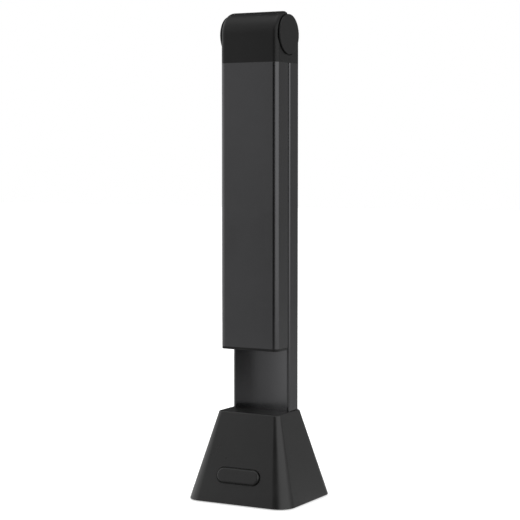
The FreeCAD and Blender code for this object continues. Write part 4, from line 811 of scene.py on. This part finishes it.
def column_head():
    """The fixed half of the head: a knuckle between two hollows for the arm's lugs."""
    end_wall, shell = 1.9 * MM, 3.5 * MM
    top, room = axis_z - seam_gap / 2, knuckle_half - end_wall
    plate_x, plate_front, plate_back = eyes_high.x + seam_gap, 4.5 * MM, 12.5 * MM
    plate_top, head_floor = seam_z + 2.5 * MM + fit, seam_z + 5.0 * MM
    leg_front, leg_back = 3.0 * MM, 9.5 * MM
    flange_way = 8.3 * MM
    bm = bmesh.new()
    corners = flat_face(bm, rectangle((-half, half), (cap_face, cap_high.y)), seam_z)
    round_points(bm, corners[:2], back_corner, 4)
    round_points(bm, points_at(bm, both_sides(half, cap_high.y)), column_corner, 8)
    lift(bm, list(bm.faces), Z * (top - seam_z))
    round_edges(bm, flat_edges(bm, top, seam_z), cut_edge, 2)
    knuckle = hinge_rod(knuckle_radius, -knuckle_half, knuckle_half, steps=160)
    hollows = [hinge_rod(lug_radius + seam_gap, *span, steps=128)
               for span in both_ways(knuckle_half, half + past)]
    hollows += disc_seats() + [
        hinge_rod(knuckle_radius - shell, -room, room, steps=128),
        hinge_rod(flange_way, -knuckle_half - past, knuckle_half + past),
        solid_box((-room, room), (leg_front - seam_gap, leg_back + seam_gap), (seam_z - past, axis_z)),
        solid_box((-plate_x, plate_x), (plate_front - seam_gap, plate_back + seam_gap),
                  (seam_z - past, plate_top)),
        upright_rod(cable_hole, seam_z, axis_z - port_y / 2, (0, port_y), 32),
    ]
    for place in both_sides(port_x, port_y):
        hollows.append(upright_rod(screw_hole, seam_z, axis_z, place, 32))
        hollows.append(upright_rod(screw_head + fit, head_floor, axis_z, place, 48))
    tongues = [solid_box(span, (plate_front, plate_back), (seam_z - tongue_length, seam_z + tongue))
               for span in both_ways(tongue_out - tongue, tongue_out)]
    bm = combine(combine(combine(bm, [knuckle], "UNION"), hollows), tongues, "UNION")
    finish_piece(bm, "column_head", "stand", "black_plastic", ["column_cap"])


# Base
base_wall, rim_edge, top_edge = 2.5 * MM, 0.5 * MM, 0.9 * MM
top_x, top_y = half + 1.7 * MM, column_high.y + 1.5 * MM
rim_corner, top_corner = 12.0 * MM, 4.2 * MM
base_height = base_high.z - base_low.z
edge_share = (base_height - rim_edge) / base_height
inside = 0.03 * MM  # how far the rim stays inside the frame's box
rim_x = top_x + (base_high.x - inside - top_x) / edge_share
rim_y = top_y + (base_high.y - inside - top_y) / edge_share
tilt = math.atan2(rim_y - top_y, base_height)
badge_z = 20.0 * MM
badge_width, badge_gap, badge_sink = 10.4 * MM, 0.5 * MM, 1.0 * MM
pin_x, pin_radius = 10.0 * MM, 1.5 * MM


def base_level(z, inset=0.0):
    """Half width, half depth and corner radius of the housing at a height."""
    share = (base_high.z - z) / base_height
    return (top_x + (rim_x - top_x) * share - inset, top_y + (rim_y - top_y) * share - inset,
            top_corner + (rim_corner - top_corner) * share - inset)


def base_loop(bm, z, inset=0.0):
    x, y, corner = base_level(z, inset)
    return outline_box(bm, (-x, x), (-y, y), z, corner, 16)


def placed_box(bm, x, y, place, radius=0.0, steps=12):
    """The edges of a rounded rectangle around the middle of its place."""
    edges = outline_box(bm, (-x, x), (-y, y), 0.0, radius, steps)
    bmesh.ops.transform(bm, matrix=place, verts=points_of(edges))
    return edges


def slot_loop(bm, length, width, place, steps=14):
    """The edges of an oval with round ends, put in its place."""
    return placed_box(bm, length / 2, width / 2, place, width / 2 - NEAR, steps)


def facing_front(y, z):
    """A place on the middle plane, with its third axis to the front and its second up."""
    return Matrix.Translation((0, y, z)) @ Matrix.Rotation(math.pi / 2, 4, "X")


def on_front_slope(out):
    """The place of something on the sloping front face, moved out from it."""
    y = base_level(badge_z)[1]
    slope = Matrix.Rotation(math.radians(90) - tilt, 4, "X")
    outward = slope @ Vector((0, 0, 1))
    return Matrix.Translation(Vector((0, -y, badge_z)) + outward * out) @ slope


def slope_rod(radius, x, low, high):
    """A closed rod square to the sloping front, between two depths behind it."""
    place = on_front_slope(-(low + high) / 2) @ Matrix.Translation((x, 0, 0))
    return rod_at(place, radius, high - low, 32)


def groove_tool():
    """The shape of the oval groove, with a fine lead at its mouth."""
    lead = 0.2 * MM
    length, width = 2 * (badge_high.x + badge_gap), badge_width + 2 * badge_gap
    bm = bmesh.new()
    return stack(bm, [slot_loop(bm, length + more, width + more, on_front_slope(-deep)) for more, deep in (
        (2 * lead, -past), (2 * lead, 0.0), (0.0, lead), (0.0, badge_sink))])


def socket_tools():
    """The flat landing on the back, and the oval mouth of the socket through it."""
    margin, corner = 2.0 * MM, 0.6 * MM
    middle, tall = (socket_low.z + socket_high.z) / 2, (socket_high.z - socket_low.z) / 2
    x = socket_high.x
    landing, mouth = bmesh.new(), bmesh.new()
    stack(landing, [placed_box(landing, x + margin, tall + margin, facing_front(y, middle), corner, 4)
                    for y in (socket_high.y, rim_y + past)])
    stack(mouth, [slot_loop(mouth, 2 * (x + fit), 2 * (tall + fit), facing_front(y, middle), 8)
                  for y in (socket_low.y, socket_high.y + past)])
    return [landing, mouth]


def base_housing():
    """The moulded housing: tapered, with corners that grow, and its bosses and sleeve inside."""
    ceiling = base_high.z - base_wall
    boss_in, boss_radius, boss_low, boss_high = 11 * MM, 3.5 * MM, 5.8 * MM, 17 * MM
    sleeve_length, sleeve_wall, grow = 24 * MM, 2.0 * MM, 0.2 * MM
    sleeve_low, around = ceiling - sleeve_length, grow + sleeve_wall
    pin_fit = 0.05 * MM
    bm = bmesh.new()
    loops = [base_loop(bm, z) for z in (base_low.z, base_high.z)]
    stack(bm, loops)
    round_edges(bm, loops[0], rim_edge)
    round_edges(bm, loops[1], top_edge, 6)
    room = bmesh.new()
    stack(room, [base_loop(room, z, base_wall) for z in (base_low.z - past, ceiling)])
    sleeve = solid_box((-half - around, half + around), (column_low.y - around, column_high.y + around),
                       (sleeve_low, base_high.z))
    places = [(x * (rim_x - boss_in), y * (rim_y - boss_in)) for x in (-1, 1) for y in (-1, 1)]
    bosses = [upright_rod(boss_radius, boss_low, boss_high, place, 40) for place in places]
    room = combine(room, [sleeve] + bosses)
    opening = bmesh.new()
    stack(opening, [column_outline(opening, z, grow, column_corner + grow)
                    for z in (sleeve_low - past, base_high.z + past)])
    tools = [room, opening, groove_tool()] + socket_tools()
    tools += [upright_rod(screw_hole, boss_low - past, boss_high - 2 * past, place, 24) for place in places]
    tools += [slope_rod(pin_radius + pin_fit, x, 0.0, 2 * base_wall) for x in (-pin_x, pin_x)]
    finish_piece(combine(bm, tools), "base_housing", "stand", "black_plastic", ["base_shell"], lit_black_moulding)


def badge_plate():
    """The oval plate in the groove, with a rolled edge and two pins behind."""
    proud, roll = 1.7 * MM, 1.3 * MM
    bm = bmesh.new()
    loops = [slot_loop(bm, 2 * badge_high.x, badge_width, on_front_slope(out), 16)
             for out in (-badge_sink, proud)]
    stack(bm, loops)
    bmesh.ops.remove_doubles(bm, verts=bm.verts, dist=4 * NEAR)
    level = on_front_slope(proud).inverted()
    round_edges(bm, [e for e in bm.edges if all(abs((level @ v.co).z) < NEAR for v in e.verts)], roll, 8)
    pins = [slope_rod(pin_radius, x, badge_sink / 2, base_wall + past) for x in (-pin_x, pin_x)]
    finish_piece(combine(bm, pins, "UNION"), "badge_plate", "stand", "black_plastic", ["oval_badge"],
                 lit_black_moulding)


# Underside of the arm
def ring_loop(bm, radius, y, z, steps=96):
    """The edges of a circle around the middle plane, upright."""
    made = bmesh.ops.create_circle(bm, cap_ends=False, radius=radius, segments=steps,
                                   matrix=facing_front(y, z))
    return list({e for v in made["verts"] for e in v.link_edges})


def underside_panel():
    """The panel that faces the page: a raised ring around the camera, the light's opening, a key seat."""
    back, front, proud = sheet_high, sheet_low, panel_high.y
    lap, light_corner, slack = 1.4 * MM, 3.0 * MM, 0.05 * MM
    ring_radius, sight_radius = 11.0 * MM, 7.6 * MM
    post_radius, post_away = 2.4 * MM, 6.0 * MM
    camera_z, middle_z, key_z, sheet_z = (
        (low.z + high.z) / 2 for low, high in (
            (window_low, window_high), (light_low, light_high), (key_low, key_high), (panel_low, panel_high)))
    light_x, light_z = light_high.x - lap, (light_high.z - light_low.z) / 2 - lap
    bm = bmesh.new()
    edge = placed_box(bm, panel_high.x, (panel_high.z - panel_low.z) / 2, facing_front(back, sheet_z))
    light = placed_box(bm, light_x, light_z, facing_front(back, middle_z), light_corner, 10)
    key = ring_loop(bm, key_high.x + slack, back, key_z)
    foot = ring_loop(bm, ring_radius, back, camera_z)
    fill(bm, edge, light, key, foot)
    far_edge = draw_out(bm, edge, Y * (front - back))
    far_light = draw_out(bm, light, Y * (front - back))
    seat = draw_out(bm, key, Y * (key_low.y - back))
    bmesh.ops.edgeloop_fill(bm, edges=seat)
    crest = draw_out(bm, foot, Y * (proud - back))
    lip = ring_loop(bm, window_high.x + slack, proud, camera_z)
    bmesh.ops.bridge_loops(bm, edges=crest + lip)
    shelf = draw_out(bm, lip, Y * (window_low.y - proud))
    sight = ring_loop(bm, sight_radius, window_low.y, camera_z)
    bmesh.ops.bridge_loops(bm, edges=shelf + sight)
    far_sight = draw_out(bm, sight, Y * (front - window_low.y))
    post_out = light_z + post_away
    posts = [(z, ring_loop(bm, post_radius, front, z, 32))
             for z in (middle_z - post_out, middle_z + post_out)]
    fill(bm, far_edge, far_light, far_sight, *[post for z, post in posts])
    for z, post in posts:
        end = draw_out(bm, post, Y * (led_board_high.y - front))
        hole = ring_loop(bm, screw_hole, led_board_high.y, z, 32)
        bmesh.ops.bridge_loops(bm, edges=end + hole)
        bmesh.ops.edgeloop_fill(bm, edges=draw_out(bm, hole, Y * (front + fit - led_board_high.y)))
    round_edges(bm, crest, 0.4 * MM)
    finish_piece(bm, "underside_panel", "arm", "black_plastic", ["underside_cover"])


def touch_key():
    """The touch key of the light: a disc with a shallow dish."""
    dish = ((0.5, 0.0), (0.9, 0.12), (1.2, 0.10), (1.6, 0.06))  # widths and drops in millimetres
    bm = bmesh.new()
    z = (key_low.z + key_high.z) / 2
    face = bmesh.ops.edgeloop_fill(bm, edges=ring_loop(bm, key_high.x, key_low.y, z))["faces"]
    top = lift(bm, face, Y * (key_high.y - key_low.y))[0]
    round_edges(bm, list(top.edges), 0.2 * MM, 3)
    bm.normal_update()
    ends = [f for f in bm.faces if f.calc_center_median().y > key_high.y - NEAR]
    top = max(ends, key=lambda f: f.calc_area())
    for width, drop in dish:
        bmesh.ops.inset_region(bm, faces=[top], thickness=width * MM, depth=0.0)
        bmesh.ops.translate(bm, verts=list(top.verts), vec=Y * -drop * MM)
    finish_piece(bm, "touch_key", "arm", "grey_plastic", ["light_touch_key"])


# Stage, light and camera
def pale_floor():
    """A pale floor that shows white to the camera and keeps a soft shadow, and shows painted light and shade in
    reflections.
    """
    bm = bmesh.new()
    bmesh.ops.create_grid(bm, x_segments=2, y_segments=2, size=6.0)
    mesh = mesh_from(bm, "floor")
    surface, wires, shader, place = new_material("floor_surface")
    shader.inputs["Roughness"].default_value = 0.9
    shader.inputs["Specular IOR Level"].default_value = 0.1
    away = wires.add("VectorMath", {0: place}, operation="LENGTH").outputs["Value"]
    spot = wires.add("SeparateXYZ", {0: place}).outputs
    path = wires.add("LightPath").outputs
    straight = wires.math("MAXIMUM", path["Is Camera Ray"], path["Is Transmission Ray"])
    seen = wires.math("MULTIPLY", straight, wires.spread(away, 0.6, 3.0, 0.58, 0.80))
    # Painted reflections: seen only in reflections, the floor glows brighter in front and to the left, and its
    # colour is darker.
    in_front = wires.spread(spot["Y"], -0.4, 0.1, 0.30, 0.0)
    leftward = wires.spread(wires.math("DIVIDE", spot["X"], spot["Y"]), 0.4, 1.5, 0.0, 0.6)
    mirrored = wires.math("MULTIPLY", path["Is Glossy Ray"], wires.math("ADD", in_front, leftward))
    wires.feed(shader, "Base Color", wires.mix(path["Is Glossy Ray"], grey(0.55), grey(0.36)))
    shader.inputs["Emission Color"].default_value = grey(1.0)
    wires.feed(shader, "Emission Strength", wires.math("ADD", seen, mirrored))
    mesh.materials.append(surface)
    new_object("floor", mesh)


def pale_world():
    """White around everything, a little dimmer as a light than as seen, straight or mirrored."""
    world = bpy.data.worlds.new("studio")
    world.use_nodes = True
    world.node_tree.nodes.clear()
    wires = Wiring(world.node_tree)
    end = wires.add("OutputWorld")
    light = wires.add("Background", {"Color": grey(1.0)})
    path = wires.add("LightPath").outputs
    seen = wires.math("MAXIMUM", path["Is Camera Ray"], path["Is Glossy Ray"])
    seen = wires.math("MAXIMUM", seen, path["Is Transmission Ray"])
    wires.feed(light, "Strength", wires.spread(seen, 0.0, 1.0, 0.85, 1.0))
    wires.feed(end, "Surface", light.outputs["Background"])
    bpy.context.scene.world = world


def around_scanner(turn, rise, distance):
    """A place around the scanner, and the direction to it: turn from the front, rise above its middle."""
    middle = Vector((0.0, 0.0, 0.17))
    around, up = math.radians(turn), math.radians(rise)
    reach = Vector((math.sin(around) * math.cos(up), -math.cos(around) * math.cos(up), math.sin(up)))
    return middle + reach * distance, reach


def softbox(name, turn, rise, distance, width, height, power, mirrored=True):
    """A rectangular lamp that faces the scanner, and may show in its shiny faces."""
    data = bpy.data.lights.new(name, "AREA")
    data.shape = "RECTANGLE"
    data.size = width
    data.size_y = height
    data.energy = power
    lamp = new_object(name, data)
    lamp.location, reach = around_scanner(turn, rise, distance)
    lamp.rotation_euler = (-reach).to_track_quat("-Z", "Y").to_euler()
    lamp.visible_camera = False
    lamp.visible_glossy = mirrored


def studio_wall(name, turn, rise, distance, width, height, level):
    """A dim wall of the studio, which only mirrored rays see."""
    bm = bmesh.new()
    bmesh.ops.create_grid(bm, x_segments=1, y_segments=1, size=0.5)
    bmesh.ops.scale(bm, verts=bm.verts, vec=(width, height, 1.0))
    place, reach = around_scanner(turn, rise, distance)
    facing = (-reach).to_track_quat("Z", "Y").to_matrix().to_4x4()
    bmesh.ops.transform(bm, matrix=Matrix.Translation(place) @ facing, verts=bm.verts)
    mesh = mesh_from(bm, name)
    made = new_object(name, mesh)
    surface, _, shader, _ = new_material(name)
    for socket, value in (("Base Color", grey(0.0)), ("Specular IOR Level", 0.0), ("Roughness", 1.0),
                          ("Emission Color", grey(level)), ("Emission Strength", 1.0)):
        shader.inputs[socket].default_value = value
    mesh.materials.append(surface)
    for ray in ("camera", "diffuse", "transmission", "shadow", "volume_scatter"):
        setattr(made, "visible_" + ray, False)


def studio_light():
    """Soft lamps and dim walls: turn, rise, distance, width and height, then watts or brightness."""
    softbox("right_softbox", 72, 12, 1.3, 1.9, 1.7, 15.0)
    softbox("left_softbox", -72, 12, 1.3, 1.5, 1.7, 7.0)
    softbox("left_rear_softbox", -140, 45, 1.4, 0.35, 0.6, 12.0, mirrored=False)
    softbox("overhead_softbox", -20, 75, 1.5, 1.0, 1.0, 5.0)
    studio_wall("front_wall", 3, 0, 0.55, 0.43, 0.9, 0.03)
    studio_wall("left_rear_wall", -156, 30, 0.5, 0.45, 0.95, 0.06)
    studio_wall("rear_wall", 170, 12, 1.7, 3.2, 2.6, 0.46)


def photo_camera():
    """The camera of the photograph, solved from the edges of the scanner in it."""
    focal = 1601.2  # in pixels of the photograph
    data = bpy.data.cameras.new("photo_camera")
    data.sensor_width = 36.0
    data.lens = focal / PHOTO * data.sensor_width
    data.clip_start = 0.05
    data.clip_end = 50.0
    camera = new_object("photo_camera", data)
    camera.location = (0.55297, -0.99465, 0.24212)
    camera.rotation_euler = (math.radians(90.0 - 3.604), 0.0, math.radians(29.054))
    bpy.context.scene.camera = camera


dress_cad_nodes()
arm_profile()
arm_tip()
arm_hood()
side_disc("left_disc", -1)
side_disc("right_disc", 1)
underside_panel()
touch_key()
column_profile()
column_head()
base_housing()
badge_plate()
pale_floor()
pale_world()
studio_light()
photo_camera()
bpy.context.scene.view_settings.view_transform = "Standard"
